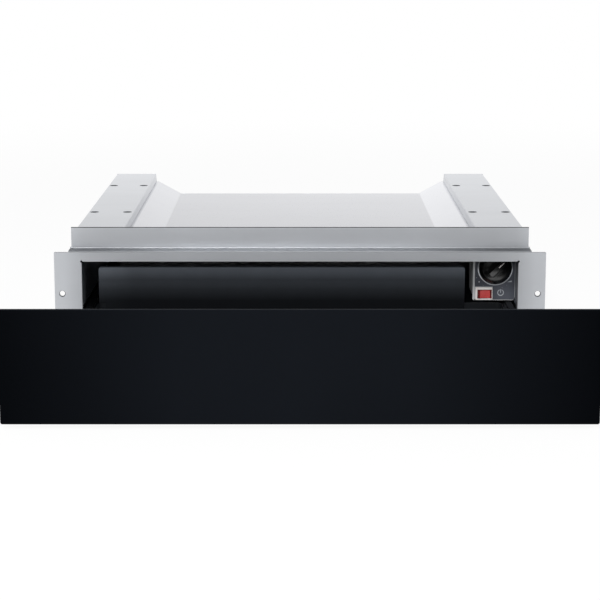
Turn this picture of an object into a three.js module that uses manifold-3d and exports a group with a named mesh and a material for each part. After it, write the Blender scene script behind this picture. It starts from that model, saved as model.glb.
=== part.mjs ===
// A built-in warming drawer with a handleless glass front, drawn out as in use.
//
// Millimetres. X runs to the right, Y from the front to the back and Z up. The origin is
// the middle of the housing's underside, halfway between the front of its screw ears and
// its back. The drawer's own group is modelled closed and then moved out by its travel.
import * as THREE from "three";
import { mergeVertices } from "three/addons/utils/BufferGeometryUtils.js";
import Module from "manifold-3d";

const wasm = await Module();
wasm.setup();

// ---------------------------------------------------------------- clearances
const SEAT = 0.3; // between a piece and what it is fixed to
const GLUED = 0.1; // between a glued film or mat and its backing
const RUNNING = 0.5; // between sliding or turning pieces
const BORE_PLAY = 0.4; // round a shaft, tube or stem, on its radius

// ---------------------------------------------------------------- housing sizes
const PANEL_WIDTH = 595;
const PANEL_OVERLAP = 27.5; // panel's side, past the housing's side
const HOUSING_WIDTH = PANEL_WIDTH - 2 * PANEL_OVERLAP;
const HOUSING_DEPTH = 520;
const HOUSING_HEIGHT = 134;
const SHEET = 1.0; // housing sheet
const BEND = 1.6; // middle radius of a fold in the housing sheet
const PAN_FLANGE = 21; // height of the base pan's turned-up sides
const PAN_LIP = 5; // height of the base pan's front lip
const RAIL_WIDTH = 57.4; // flat top of each side rail
const RAIL_DROP = 11; // inner face of a rail, down to the top panel's lip
const RAIL_LEAN = 1.1; // how far that face leans in at its foot
const TUCK = 9; // top panel's flange, hidden under the rail
const LIP = 3.2; // flat lip beside the rail
const TROUGH_SLOPE = 32.5; // across the sloped side of the recessed top
const TROUGH_SHARE = 0.2179; // recessed top's depth, of the housing's height
const RAIL_HOLE_RADIUS = 4.7;
const RAIL_HOLE_EDGE = 8; // outer holes, in from the side
const RAIL_HOLE_SPACING = 42; // between the inner and outer holes
const RAIL_HOLE_FRONT = 143; // front holes, behind the ears
const RAIL_HOLE_PITCH = 249; // between the front and back holes

// ---------------------------------------------------------------- front frame sizes
const FRAME_SHEET = 1.2;
const FRAME_BEND = 1.8;
const FASCIA_HEIGHT = 26;
const FASCIA_SETBACK = 19.6;
const FASCIA_REACH = 7; // past the housing's side
const LEDGE_OVERHANG = 1.7; // ledge's end, past the fascia's
const EAR_REACH = 26; // past the housing's side
const EAR_BOTTOM = 5.6;
const EAR_CORNER = 1.5;
const EAR_HOLE_RADIUS = 3.2;
const EAR_HOLE_EDGE = 9.2; // in from the ear's outer edge
const OPENING_STRIP = 12.8; // strip over the opening
const OPENING_SIDE = 7; // opening's side, in from the housing's side
const RETURN_DEPTH = 12; // turned-in edge round the opening
const RELIEF_RADIUS = 1.5; // bend relief at the opening's upper corners

// ---------------------------------------------------------------- cavity and rear bay sizes
const LINER_SHEET = 0.8;
const LINER_SIDE_AIR = 1.9; // between the liner and the housing's side
const LINER_TOP_AIR = 2.4; // between the liner and the recessed top
const LINER_BOTTOM = 6.5;
const REAR_BAY = 71; // from the partition's face to the housing's back
const PARTITION_FLANGE = 9;
const INSULATION_HEIGHT = 5;
const INSULATION_MARGIN = 22; // in from the housing's sides
const AIR_SLOT_LENGTH = 16;
const AIR_SLOT_HEIGHT = 9;
const AIR_SLOT_PITCH = 22;
const AIR_SLOTS = 9;
const PAN_SLOTS = 5; // in each group of slots in the base pan
const PAN_SLOT_INSET = 95; // middle of each group, in from the housing's side
const PAN_SLOT_WIDTH = 6;
const PAN_SLOT_SETBACK = 3; // behind the partition's flange
const OUTLET_RISE = 3; // foot of the air outlets, over the tray's back
const SLOT_CORNER = 2;
const INTAKE_SLOT_HEIGHT = 30;
const LOUVRE_WIDTH = 4;
const LOUVRE_HEIGHT = 34;
const LOUVRE_PITCH = 11;
const LOUVRES = 7;
const LOUVRE_INSET = 145; // middle of each louvre group, in from the housing's side
const LOUVRE_LEVEL = 32; // foot of the louvres

// ---------------------------------------------------------------- fan and heater sizes
const FAN_RADIUS = 22;
const FAN_LENGTH = 200;
const FAN_BLADES = 16;
const BLADE_SHEET = 1.0;
const BLADE_DEPTH = 6.5; // radial
const FAN_DISC = 1.4;
const FAN_TIP_GAP = 2.5;
const FAN_END_GAP = 3;
const FAN_SHAFT_RADIUS = 3;
const SCROLL_SHEET = 1.0;
const SCROLL_SETBACK = 6; // front of the fan's mouth, behind the partition
const SCROLL_TOP_AIR = 6.8; // between the duct and the recessed top
const MOTOR_CORE = 38; // square stator
const MOTOR_CORE_LENGTH = 18;
const MOTOR_BELL_RADIUS = 14;
const MOTOR_BELL_LENGTH = 7;
const MOTOR_CORNER = 3;
const COIL_RISE = 9; // coil's top, over the stator
const COIL_OVERHANG = 4; // coil's ends, past the stator's faces
const COIL_SHARE = 0.8; // of the stator's width
const BEARING_RADIUS = 8;
const BEARING_LENGTH = 6;
const BEARING_FLANGE = 4; // past the sleeve, on its radius
const BEARING_FLANGE_SHEET = 2;
const ELEMENT_RADIUS = 3.25;
const ELEMENT_BEND = 12; // half the spacing of its two legs
const ELEMENT_SETBACK = 7; // nearer leg, behind the partition
const ELEMENT_DROP = 14; // below the top of the scroll
const ELEMENT_STUB = 16; // legs past the end plate
const ELEMENT_END_SPACE = 14; // loop's end to the other end plate
const ELEMENT_CAP = 1.5; // end caps, past the tube on its radius
const ELEMENT_CAP_SHARE = 0.4; // of the stubs that the caps leave bare
const CLIP_MARGIN = 3; // clip's plate, round the tube
const CLIP_SHEET = 1;
const CLIP_FOOT = 10;

// ---------------------------------------------------------------- small electric pieces
const CUTOUT_RADIUS = 9;
const CUTOUT_LENGTH = 9;
const CUTOUT_PLATE = 1;
const CUTOUT_PLATE_HALF = 19; // half the plate's length
const CUTOUT_PLATE_RISE = 6; // half its height
const CUTOUT_TAB = 8; // tabs, past the body
const CUTOUT_TAB_SPACING = 8;
const CUTOUT_TAB_SHEET = 0.8;
const CUTOUT_INSET = 85; // its middle, in from the housing's side
const CUTOUT_Z = 62;
const TERMINAL_WIDTH = 44;
const TERMINAL_DEPTH = 22;
const TERMINAL_HEIGHT = 20;
const TERMINAL_INSET = 80; // its middle, in from the housing's side
const TERMINAL_WELL = 3; // radius of the screw wells
const TERMINAL_WAY = 2.2; // radius of the wire ways
const GLAND_RADIUS = 8;
const GLAND_FLANGE = 12;
const GLAND_FLANGE_LENGTH = 4;
const GLAND_BORE = 4;
const GLAND_LEVEL = 48;
const LATCH_WIDTH = 16;
const LATCH_LENGTH = 46;
const LATCH_LEVEL = 23;
const LATCH_INSET = 44; // in from the housing's side
const PLUNGER_RADIUS = 4;
const PLUNGER_STROKE = 9;
const LATCH_FLANGE = 8; // past the body, each side
const LATCH_FLANGE_SHEET = 2;
const LATCH_END_WALL = 3; // behind the bore
const STRIKER_WIDTH = 22;
const STRIKER_HEIGHT = 14;
const STRIKER_THICKNESS = 2;

// ---------------------------------------------------------------- control box sizes
const CONTROL_WIDTH = 50.2;
const CONTROL_HEIGHT = 63.8;
const CONTROL_SLIDE_GAP = 1.5; // between the box and the slide below it
const CONTROL_DEPTH = 73;
const CONTROL_SETBACK = 57; // its face, behind the ears
const CONTROL_WALL = 1.5;
const CONTROL_CORNER = 3.5;
const LABEL_THICKNESS = 0.5;
const LABEL_MARGIN = 1;
const LABEL_CUT_WIDTH = 22.6; // label's cut-out for the switch
const LABEL_CUT_HEIGHT = 19;
const KNOB_FROM_LEFT = 25.4;
const KNOB_FROM_TOP = 23.1;
const KNOB_RADIUS = 19.5;
const KNOB_SKIRT = 5;
const KNOB_HEIGHT = 17;
const GRIP_WIDTH = 9;
const GRIP_FOOT_WIDTH = 13;
const GRIP_BEVEL = 1.5;
const SKIRT_BEVEL = 1.6;
const POINTER_WIDTH = 1.2;
const POINTER_DEPTH = 0.5;
const KNOB_BORE_DEPTH = 12;
const KNOB_TURN = -45; // degrees from upright at rest
const DIAL_GAP = 0.3; // bare face between the knob and the ring
const DIAL_RING_WIDTH = 1.9;
const DIAL_TUCK = 2; // of the ring's width, hidden under the knob
const DIAL_RING_THICKNESS = 0.5;
const THERMOSTAT_RADIUS = 16;
const THERMOSTAT_LENGTH = 26;
const THERMOSTAT_PLATE = 2;
const THERMOSTAT_PLATE_HALF = 20; // half the plate's width
const THERMOSTAT_PLATE_RISE = 12; // half its height
const SHAFT_RADIUS = 3;
const SWITCH_WIDTH = 20.6;
const SWITCH_HEIGHT = 15.4;
const SWITCH_BEZEL = 1.8;
const SWITCH_FROM_LEFT = 11.9;
const SWITCH_FROM_BOTTOM = 8.6;
const SWITCH_BODY_INSET = 1.0;
const SWITCH_DEPTH = 20;
const ROCKER_LENGTH = 16;
const ROCKER_HEIGHT = 10.5;
const ROCKER_PROUD = 2.6; // ends of the level rocker, before its pivot
const ROCKER_SUNK = 1.2; // pivot, behind the bezel's face
const ROCKER_DISH = 1.4;
const ROCKER_THROW = 7; // degrees either way
const CAPILLARY_RADIUS = 1;
const BULB_RADIUS = 3;
const BULB_LENGTH = 60;
const LOOM_RADIUS = 3.5;
const LOOM_BEHIND = 6; // wires' middle line, before the back wall
const CONTROL_TAIL = 60; // straight run of the wires and of the sensor, behind the box

// ---------------------------------------------------------------- slide sizes
const SLIDE_BOTTOM = 8;
const SLIDE_THICKNESS = 12.7;
const SLIDE_SHEET = 1.2;
const SLIDE_FRONT = 15; // fixed members' front, behind the ears
const SLIDE_BRACKET = 3.4; // between the liner and the slide
const SLIDE_BRACKET_SHEET = 1.0;
const SLIDE_BRACKET_SHARE = 0.185; // of the slide's height, for each of its feet
const SLIDE_BRACKET_INSET = 1; // its edges, inside the slide's
const SLIDE_PLAY = 0.4; // between the nested lips
const SLIDE_HOLE_RADIUS = 2.3;
const SLIDE_HOLE_PITCH = 128;

// ---------------------------------------------------------------- drawer sizes
const OPEN_TRAVEL = 392;
const PANEL_HEIGHT = 116.3;
const PANEL_BOTTOM = 5;
const PANEL_STANDOFF = 2; // closed panel's back, before the ears
const GLASS = 4.5;
const GLASS_CORNER = 1.5;
const GLASS_CHAMFER = 0.7;
const CARRIER_DEPTH = 15.2;
const CARRIER_MARGIN = 5;
const CARRIER_SHEET = 1.2;
const CARRIER_CORNER = 4;
const TRAY_SHEET = 1.0;
const TRAY_BOTTOM = 11;
const TRAY_WALL_TOP = 35;
const TRAY_CORNER = 8;
const TRAY_REAR_ROOM = 7; // closed tray's back to the partition
const BACK_PANEL_AIR = 20.6; // between the tray's high back and the liner's ceiling
const BACK_PANEL_SHEET = 1.2;
const BACK_PANEL_FLANGE = 5;
const BACK_PANEL_CORNER = 3.7;
const BACK_PANEL_EDGE = 1.4; // its left edge, inside the tray's outer side
const BACK_PANEL_CONTROL_GAP = 12.8; // its right edge to the control box
const MAT_THICKNESS = 2;
const MAT_MARGIN = 4;
const GUSSET_LENGTH = 34;
const GUSSET_CLEARANCE = 1.2; // gusset's top, below the opening's
const GUSSET_SHEET = 1.5;
const GUSSET_FOOT = 14;

// ---------------------------------------------------------------- places worked out from them
const SIDE = HOUSING_WIDTH / 2;
const SIDE_INNER = SIDE - SHEET;
const EAR_Y = -HOUSING_DEPTH / 2;
const BACK_Y = HOUSING_DEPTH / 2;
const BODY_FRONT = EAR_Y + FRAME_SHEET + SEAT;
const BODY_BACK = BACK_Y - SHEET - SEAT;
const FASCIA_Y = EAR_Y + FASCIA_SETBACK;
const BEHIND_FASCIA = FASCIA_Y + FRAME_SHEET + SEAT;
const LEDGE_Z = HOUSING_HEIGHT - FASCIA_HEIGHT;
const OPENING_TOP = LEDGE_Z - OPENING_STRIP;
const OPENING_HALF = SIDE - OPENING_SIDE;
const RETURN_END = EAR_Y + RETURN_DEPTH;
const RAIL_INNER = SIDE - RAIL_WIDTH;
const RAIL_FOOT = RAIL_INNER - RAIL_LEAN;
const LIP_Z = HOUSING_HEIGHT - RAIL_DROP - SEAT; // top face of the lip
const TROUGH_Z = HOUSING_HEIGHT * (1 - TROUGH_SHARE); // top face of the recessed panel
const LIP_INNER = RAIL_FOOT - LIP;
const TROUGH_HALF = LIP_INNER - TROUGH_SLOPE;
const LINER_OUTER = SIDE_INNER - LINER_SIDE_AIR;
const LINER_INNER = LINER_OUTER - LINER_SHEET;
const LINER_TOP = TROUGH_Z - SHEET - LINER_TOP_AIR;
const LINER_CEILING = LINER_TOP - LINER_SHEET;
const PARTITION_Y = BACK_Y - REAR_BAY;
const BAY_FRONT = PARTITION_Y + SHEET;
const PAN_INNER = SIDE_INNER - SEAT - SHEET;
const CONTROL_RIGHT = LINER_INNER - SEAT;
const CONTROL_LEFT = CONTROL_RIGHT - CONTROL_WIDTH;
const CONTROL_TOP = LINER_CEILING - SEAT;
const CONTROL_BOTTOM = CONTROL_TOP - CONTROL_HEIGHT;
const CONTROL_Y = EAR_Y + CONTROL_SETBACK;
const CONTROL_BACK = CONTROL_Y + CONTROL_DEPTH;
const KNOB_X = CONTROL_LEFT + KNOB_FROM_LEFT;
const KNOB_Z = CONTROL_TOP - KNOB_FROM_TOP;
const LABEL_Y = CONTROL_Y - GLUED - LABEL_THICKNESS; // front face of the label
const DIAL_Y = LABEL_Y - GLUED - DIAL_RING_THICKNESS;
const KNOB_FOOT = DIAL_Y - RUNNING;
const SWITCH_X = CONTROL_LEFT + SWITCH_FROM_LEFT;
const SWITCH_Z = CONTROL_BOTTOM + SWITCH_FROM_BOTTOM;
const SLIDE_OUTER = LINER_INNER - SLIDE_BRACKET - 2 * SEAT;
const SLIDE_INNER = SLIDE_OUTER - SLIDE_THICKNESS;
const SLIDE_TOP = CONTROL_BOTTOM - CONTROL_SLIDE_GAP;
const SLIDE_HEIGHT = SLIDE_TOP - SLIDE_BOTTOM;
const SLIDE_END = PARTITION_Y - TRAY_REAR_ROOM;
const TRAY_HALF = SLIDE_INNER - SEAT;
const PANEL_BACK = EAR_Y - PANEL_STANDOFF;
const TRAY_FRONT = PANEL_BACK + SEAT;
const TRAY_BACK = PARTITION_Y - TRAY_REAR_ROOM;
const BACK_PANEL_TOP = LINER_CEILING - BACK_PANEL_AIR;
const GUSSET_TOP = OPENING_TOP - GUSSET_CLEARANCE;
const FAN_Y = BAY_FRONT + SCROLL_SETBACK + SCROLL_SHEET + FAN_TIP_GAP + FAN_RADIUS;
const SCROLL_FOOT = 2 * (SHEET + SEAT); // on the partition's lower flange
const SCROLL_TOP = TROUGH_Z - SHEET - SCROLL_TOP_AIR;
const FAN_Z = SCROLL_FOOT + SCROLL_SHEET + FAN_TIP_GAP + FAN_RADIUS;
const SCROLL_HALF = FAN_LENGTH / 2 + FAN_END_GAP + SCROLL_SHEET;
const ELEMENT_Z = SCROLL_TOP - ELEMENT_DROP;
const LATCH_X = SIDE - LATCH_INSET;
const TERMINAL_X = -(SIDE - TERMINAL_INSET);
const GLAND_X = TERMINAL_X;
const CUTOUT_X = SIDE - CUTOUT_INSET;
const PAN_SLOT_GROUP = SIDE - PAN_SLOT_INSET;
const LOUVRE_GROUP = SIDE - LOUVRE_INSET;
const ELEMENT_NEAR = BAY_FRONT + ELEMENT_RADIUS + ELEMENT_SETBACK;
const ELEMENT_LEGS = [ELEMENT_NEAR, ELEMENT_NEAR + 2 * ELEMENT_BEND];
const MOTOR_LENGTH = 2 * MOTOR_BELL_LENGTH + MOTOR_CORE_LENGTH;
const BEARING_REACH = FAN_END_GAP + SCROLL_SHEET + SEAT + BEARING_LENGTH;
const MOTOR_REACH = FAN_END_GAP + SCROLL_SHEET + SEAT + MOTOR_LENGTH;
const SLIDE_MIDDLE_WEB = (SLIDE_INNER + SLIDE_OUTER) / 2 + 0.3;
const ROCKER_SWEEP = Math.hypot(ROCKER_LENGTH / 2, ROCKER_PROUD);
const ROCKER_Y = CONTROL_Y - SEAT - SWITCH_BEZEL + ROCKER_SUNK;
const LOOM_X = CONTROL_RIGHT - CONTROL_WALL - SEAT - LOOM_RADIUS;
const LOOM_Z = CONTROL_TOP - CONTROL_WALL - SEAT - LOOM_RADIUS;

// ---------------------------------------------------------------- finishes
const finish = (color, roughness, metalness) =>
  new THREE.MeshStandardMaterial({ color, roughness, metalness });
const galvanised = finish(0xc3c5c6, 0.42, 0.85);
const brightSheet = finish(0xd2d3d3, 0.36, 0.85);
const blackSheet = finish(0x1c1d1f, 0.55, 0.4);
const trayCoat = finish(0x4a4c4f, 0.48, 0.5);
const blackGlass = finish(0x14171a, 0.08, 0.0);
const matRubber = finish(0x26282a, 0.85, 0.0);
const paleCase = finish(0xc9cbcc, 0.55, 0.1);
const labelFilm = finish(0x484a54, 0.6, 0.0);
const blackPlastic = finish(0x121314, 0.4, 0.0);
const redPlastic = finish(0xc81e1e, 0.35, 0.0);
const ceramic = finish(0xe4e0d4, 0.7, 0.0);
const zinc = finish(0xb4b8ba, 0.32, 0.9);
const darkMetal = finish(0x55585a, 0.45, 0.8);
const glassWool = finish(0xd9cfa8, 0.95, 0.0);

// ---------------------------------------------------------------- shapes and solids

/** A closed geometry as a solid that can be joined and cut. */
function solid(geometry) {
  const bare = geometry.clone();
  bare.deleteAttribute("normal");
  bare.deleteAttribute("uv");
  const merged = mergeVertices(bare, 1e-4);
  return new wasm.Manifold(
    new wasm.Mesh({
      numProp: 3,
      vertProperties: merged.attributes.position.array,
      triVerts: new Uint32Array(merged.index.array),
    }),
  );
}

/** A box between two corners. */
function block(x0, x1, y0, y1, z0, z1) {
  const geometry = new THREE.BoxGeometry(x1 - x0, y1 - y0, z1 - z0);
  geometry.translate((x0 + x1) / 2, (y0 + y1) / 2, (z0 + z1) / 2);
  return solid(geometry);
}

/** Turns a form drawn in its own plane so that its depth runs along an axis, from `start`.
 * The form's own axes become Y and Z along X, X and Z along Y, and X and Y along Z. */
function layAlong(geometry, axis, start, depth) {
  const frames = {
    x: [[0, 1, 0], [0, 0, 1], [1, 0, 0], [start, 0, 0]],
    y: [[1, 0, 0], [0, 0, 1], [0, -1, 0], [0, start + depth, 0]],
    z: [[1, 0, 0], [0, 1, 0], [0, 0, 1], [0, 0, start]],
  };
  const [u, v, w, origin] = frames[axis].map((row) => new THREE.Vector3(...row));
  geometry.applyMatrix4(new THREE.Matrix4().makeBasis(u, v, w).setPosition(origin));
  return solid(geometry);
}

/** A drawn outline carried along an axis from `start` to `end`. */
function prism(shape, axis, start, end, curveSegments = 3) {
  const depth = end - start;
  const settings = { depth, bevelEnabled: false, curveSegments };
  return layAlong(new THREE.ExtrudeGeometry(shape, settings), axis, start, depth);
}

/** A round bar along an axis; `u` and `v` are its centre on the other two axes. */
function rod(axis, u, v, radius, start, end, sides = 24) {
  const circle = new THREE.Shape();
  circle.absarc(u, v, radius, 0, 2 * Math.PI);
  return prism(circle, axis, start, end, sides / 2);
}

/** A polygon through [u, v] points. */
function polygon(points) {
  return new THREE.Shape(points.map(([u, v]) => new THREE.Vector2(u, v)));
}

/** A rectangle with round corners. */
function roundedRectangle(u0, u1, v0, v1, radius) {
  const shape = new THREE.Shape();
  shape.absarc(u1 - radius, v0 + radius, radius, -Math.PI / 2, 0);
  shape.absarc(u1 - radius, v1 - radius, radius, 0, Math.PI / 2);
  shape.absarc(u0 + radius, v1 - radius, radius, Math.PI / 2, Math.PI);
  shape.absarc(u0 + radius, v0 + radius, radius, Math.PI, 1.5 * Math.PI);
  shape.closePath();
  return shape;
}

/** The section of a folded sheet: a line of one thickness through [u, v] points, with a
 * round bend of the given middle radius at each inner point. */
function foldedSection(points, thickness, bend, steps = 3) {
  const line = points.map(([u, v]) => new THREE.Vector2(u, v));
  const path = [];
  const push = (point, direction) =>
    path.push({ point, normal: new THREE.Vector2(-direction.y, direction.x) });
  const heading = (i) => line[i + 1].clone().sub(line[i]).normalize();
  push(line[0], heading(0));
  for (let i = 1; i < line.length - 1; i++) {
    const before = heading(i - 1);
    const after = heading(i);
    const turn = Math.atan2(before.cross(after), before.dot(after));
    const tangent = bend * Math.tan(Math.abs(turn) / 2);
    const start = line[i].clone().addScaledVector(before, -tangent);
    const side = Math.sign(turn);
    const centre = start
      .clone()
      .add(new THREE.Vector2(-before.y, before.x).multiplyScalar(side * bend));
    for (let k = 0; k <= steps; k++) {
      const angle = (turn * k) / steps;
      const origin = new THREE.Vector2();
      push(start.clone().rotateAround(centre, angle), before.clone().rotateAround(origin, angle));
    }
  }
  push(line.at(-1), heading(line.length - 2));
  const offset = (by) => path.map(({ point, normal }) => point.clone().addScaledVector(normal, by));
  return new THREE.Shape([...offset(thickness / 2), ...offset(-thickness / 2).reverse()]);
}

/** A folded sheet along an axis. */
function foldedSheet(points, thickness, bend, axis, start, end, steps = 3) {
  return prism(foldedSection(points, thickness, bend, steps), axis, start, end);
}

/** A turned form: [radius, height] points revolved round Z. */
function turned(profile, sides = 48) {
  const points = profile.map(([radius, height]) => new THREE.Vector2(radius, height));
  return solid(new THREE.LatheGeometry(points, sides).rotateX(Math.PI / 2));
}

/** A tube along a curve, with an even number of sides. */
function tube(curve, radius, steps, sides) {
  const section = new THREE.Shape();
  section.absarc(0, 0, radius, 0, 2 * Math.PI);
  const settings = { steps, curveSegments: sides / 2, bevelEnabled: false, extrudePath: curve };
  return solid(new THREE.ExtrudeGeometry(section, settings));
}

/** Several solids as one. */
const joined = (solids) => solids.reduce((all, next) => all.add(next));

/** A named mesh from a solid. */
function part(name, body, material) {
  const { vertProperties, triVerts } = body.getMesh();
  const geometry = new THREE.BufferGeometry();
  geometry.setAttribute("position", new THREE.BufferAttribute(vertProperties, 3));
  geometry.setIndex(new THREE.BufferAttribute(triVerts, 1));
  const faceted = geometry.toNonIndexed();
  faceted.computeVertexNormals();
  const mesh = new THREE.Mesh(faceted, material);
  mesh.name = name;
  return mesh;
}

/** `count` places, `pitch` apart, about a middle. */
const spread = (middle, pitch, count) =>
  Array.from({ length: count }, (_, i) => middle + (i - (count - 1) / 2) * pitch);

// ---------------------------------------------------------------- housing

/** Floor sheet with turned-up sides, a low front lip and cooling slots in the rear bay. */
function basePan() {
  const edge = SIDE_INNER - SEAT - SHEET / 2;
  const section = [[-edge, PAN_FLANGE], [-edge, SHEET / 2], [edge, SHEET / 2], [edge, PAN_FLANGE]];
  const pan = foldedSheet(section, SHEET, BEND, "y", BODY_FRONT, BODY_BACK);
  const lip = block(-edge + BEND * 2, edge - BEND * 2, BODY_FRONT, BODY_FRONT + SHEET, 0, PAN_LIP);
  const places = [-PAN_SLOT_GROUP, PAN_SLOT_GROUP].flatMap((x) => spread(x, AIR_SLOT_PITCH, PAN_SLOTS));
  const near = BAY_FRONT + PARTITION_FLANGE + PAN_SLOT_SETBACK;
  const slots = places.map((x) => {
    const from = x - AIR_SLOT_LENGTH / 2;
    const to = from + AIR_SLOT_LENGTH;
    const slot = roundedRectangle(from, to, near, near + PAN_SLOT_WIDTH, PAN_SLOT_WIDTH * 0.45);
    return prism(slot, "z", -SHEET, 2 * SHEET, 1);
  });
  return part("base_pan", pan.add(lip).subtract(joined(slots)), galvanised);
}

/** Side wall, folded over at the top into a drilled rail and down to the top panel. */
function sidePanel(name, side) {
  const wall = side * (SIDE - SHEET / 2);
  const top = HOUSING_HEIGHT - SHEET / 2;
  const inner = side * (RAIL_INNER + SHEET / 2);
  const foot = side * (RAIL_FOOT + SHEET / 2);
  const section = [[wall, SEAT], [wall, top], [inner, top], [foot, HOUSING_HEIGHT - RAIL_DROP]];
  let panel = foldedSheet(section, SHEET, BEND, "y", BODY_FRONT, BODY_BACK);
  const out = SIDE + SHEET;
  const notchFoot = LEDGE_Z - FRAME_SHEET - SEAT;
  const notch = block(-out, out, BODY_FRONT - SHEET, BEHIND_FASCIA, notchFoot, HOUSING_HEIGHT + SHEET);
  panel = panel.subtract(notch);
  for (const x of [SIDE - RAIL_HOLE_EDGE, SIDE - RAIL_HOLE_EDGE - RAIL_HOLE_SPACING])
    for (const y of [EAR_Y + RAIL_HOLE_FRONT, EAR_Y + RAIL_HOLE_FRONT + RAIL_HOLE_PITCH])
      panel = panel.subtract(
        rod("z", side * x, y, RAIL_HOLE_RADIUS, top - SHEET, HOUSING_HEIGHT + SHEET, 12),
      );
  return part(name, panel, galvanised);
}

/** The half outline of the recessed top, from its flat middle to the flange under a rail. */
const troughLine = (side, drop) => [
  [side * TROUGH_HALF, TROUGH_Z - drop],
  [side * LIP_INNER, LIP_Z - drop],
];

/** Recessed top: a flat middle, sloped sides, and lips tucked under the rails. */
function topPanel() {
  const drop = SHEET / 2;
  const edge = RAIL_INNER + TUCK;
  const section = [
    [-edge, LIP_Z - drop],
    ...troughLine(-1, drop).reverse(),
    ...troughLine(1, drop),
    [edge, LIP_Z - drop],
  ];
  return part(
    "top_panel",
    foldedSheet(section, SHEET, BEND, "y", BEHIND_FASCIA, BODY_BACK),
    brightSheet,
  );
}

/** Bent front frame: screw ears, the strip over the opening, a ledge, and the fascia. */
function frontFrame() {
  const t = FRAME_SHEET;
  const reach = SIDE + FASCIA_REACH;
  const fold = [
    [EAR_Y + t / 2, OPENING_TOP + t],
    [EAR_Y + t / 2, LEDGE_Z - t / 2],
    [FASCIA_Y + t / 2, LEDGE_Z - t / 2],
    [FASCIA_Y + t / 2, HOUSING_HEIGHT],
  ];
  const ledge = reach + LEDGE_OVERHANG;
  const sheet = foldedSheet(fold, t, FRAME_BEND, "x", -ledge, ledge, 4);
  const upright = LEDGE_Z + FRAME_BEND;
  const sideCut = block(reach, ledge + t, EAR_Y, FASCIA_Y + 2 * t, upright, HOUSING_HEIGHT + t);
  const fascia = sheet.subtract(sideCut).subtract(sideCut.mirror([1, 0, 0]));
  const ear = SIDE + EAR_REACH;
  const face = roundedRectangle(-ear, ear, EAR_BOTTOM, LEDGE_Z - t, EAR_CORNER);
  let plate = prism(face, "y", EAR_Y, EAR_Y + t);
  const mouth = block(-OPENING_HALF, OPENING_HALF, EAR_Y - t, EAR_Y + 2 * t, -1, OPENING_TOP);
  plate = plate.subtract(mouth);
  const middle = (EAR_BOTTOM + LEDGE_Z - t) / 2;
  for (const x of [-ear + EAR_HOLE_EDGE, ear - EAR_HOLE_EDGE])
    plate = plate.subtract(rod("y", x, middle, EAR_HOLE_RADIUS, EAR_Y - t, EAR_Y + 2 * t, 16));
  const u = OPENING_HALF + t / 2;
  const v = OPENING_TOP + t / 2;
  const ring = foldedSection([[-u, EAR_BOTTOM], [-u, v], [u, v], [u, EAR_BOTTOM]], t, FRAME_BEND);
  const returns = prism(ring, "y", EAR_Y, RETURN_END);
  let frame = fascia.add(plate).add(returns);
  for (const x of [-OPENING_HALF, OPENING_HALF])
    frame = frame.subtract(rod("y", x, OPENING_TOP, RELIEF_RADIUS, EAR_Y - t, RETURN_END + t, 10));
  return part("front_frame", frame, galvanised);
}

/** Back wall, cut to the outline of the rails and the recessed top, with louvres. */
function rearPanel() {
  const right = [
    [SIDE, 0],
    [SIDE, HOUSING_HEIGHT],
    [RAIL_INNER, HOUSING_HEIGHT],
    [RAIL_FOOT, LIP_Z],
    [LIP_INNER, LIP_Z],
    [TROUGH_HALF, TROUGH_Z],
  ];
  const left = right.map(([x, z]) => [-x, z]).reverse();
  let wall = prism(polygon([...right, ...left]), "y", BACK_Y - SHEET, BACK_Y);
  for (const group of [-LOUVRE_GROUP, LOUVRE_GROUP])
    for (const x of spread(group, LOUVRE_PITCH, LOUVRES)) {
      const half = LOUVRE_WIDTH / 2;
      const top = LOUVRE_LEVEL + LOUVRE_HEIGHT;
      const slot = roundedRectangle(x - half, x + half, LOUVRE_LEVEL, top, half - 0.05);
      wall = wall.subtract(prism(slot, "y", BACK_Y - 2 * SHEET, BACK_Y + SHEET, 1));
    }
  const gland = GLAND_RADIUS + BORE_PLAY;
  const hole = rod("y", GLAND_X, GLAND_LEVEL, gland, BACK_Y - 2 * SHEET, BACK_Y + SHEET);
  return part("rear_panel", wall.subtract(hole), galvanised);
}

/** Inner lining of the heated space: top and both sides in one sheet. */
function cavityLiner() {
  const u = LINER_INNER + LINER_SHEET / 2;
  const v = LINER_CEILING + LINER_SHEET / 2;
  const section = [[-u, LINER_BOTTOM], [-u, v], [u, v], [u, LINER_BOTTOM]];
  return part(
    "cavity_liner",
    foldedSheet(section, LINER_SHEET, BEND, "y", RETURN_END + SEAT, PARTITION_Y - SEAT),
    blackSheet,
  );
}

/** Mat of glass wool that keeps the heat off the floor below. */
function baseInsulation() {
  const half = SIDE - INSULATION_MARGIN;
  const foot = SHEET + SEAT;
  const front = BODY_FRONT + SHEET + SEAT;
  const outline = roundedRectangle(-half, half, front, PARTITION_Y - SEAT, 6);
  return part("base_insulation", prism(outline, "z", foot, foot + INSULATION_HEIGHT), glassWool);
}

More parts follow.
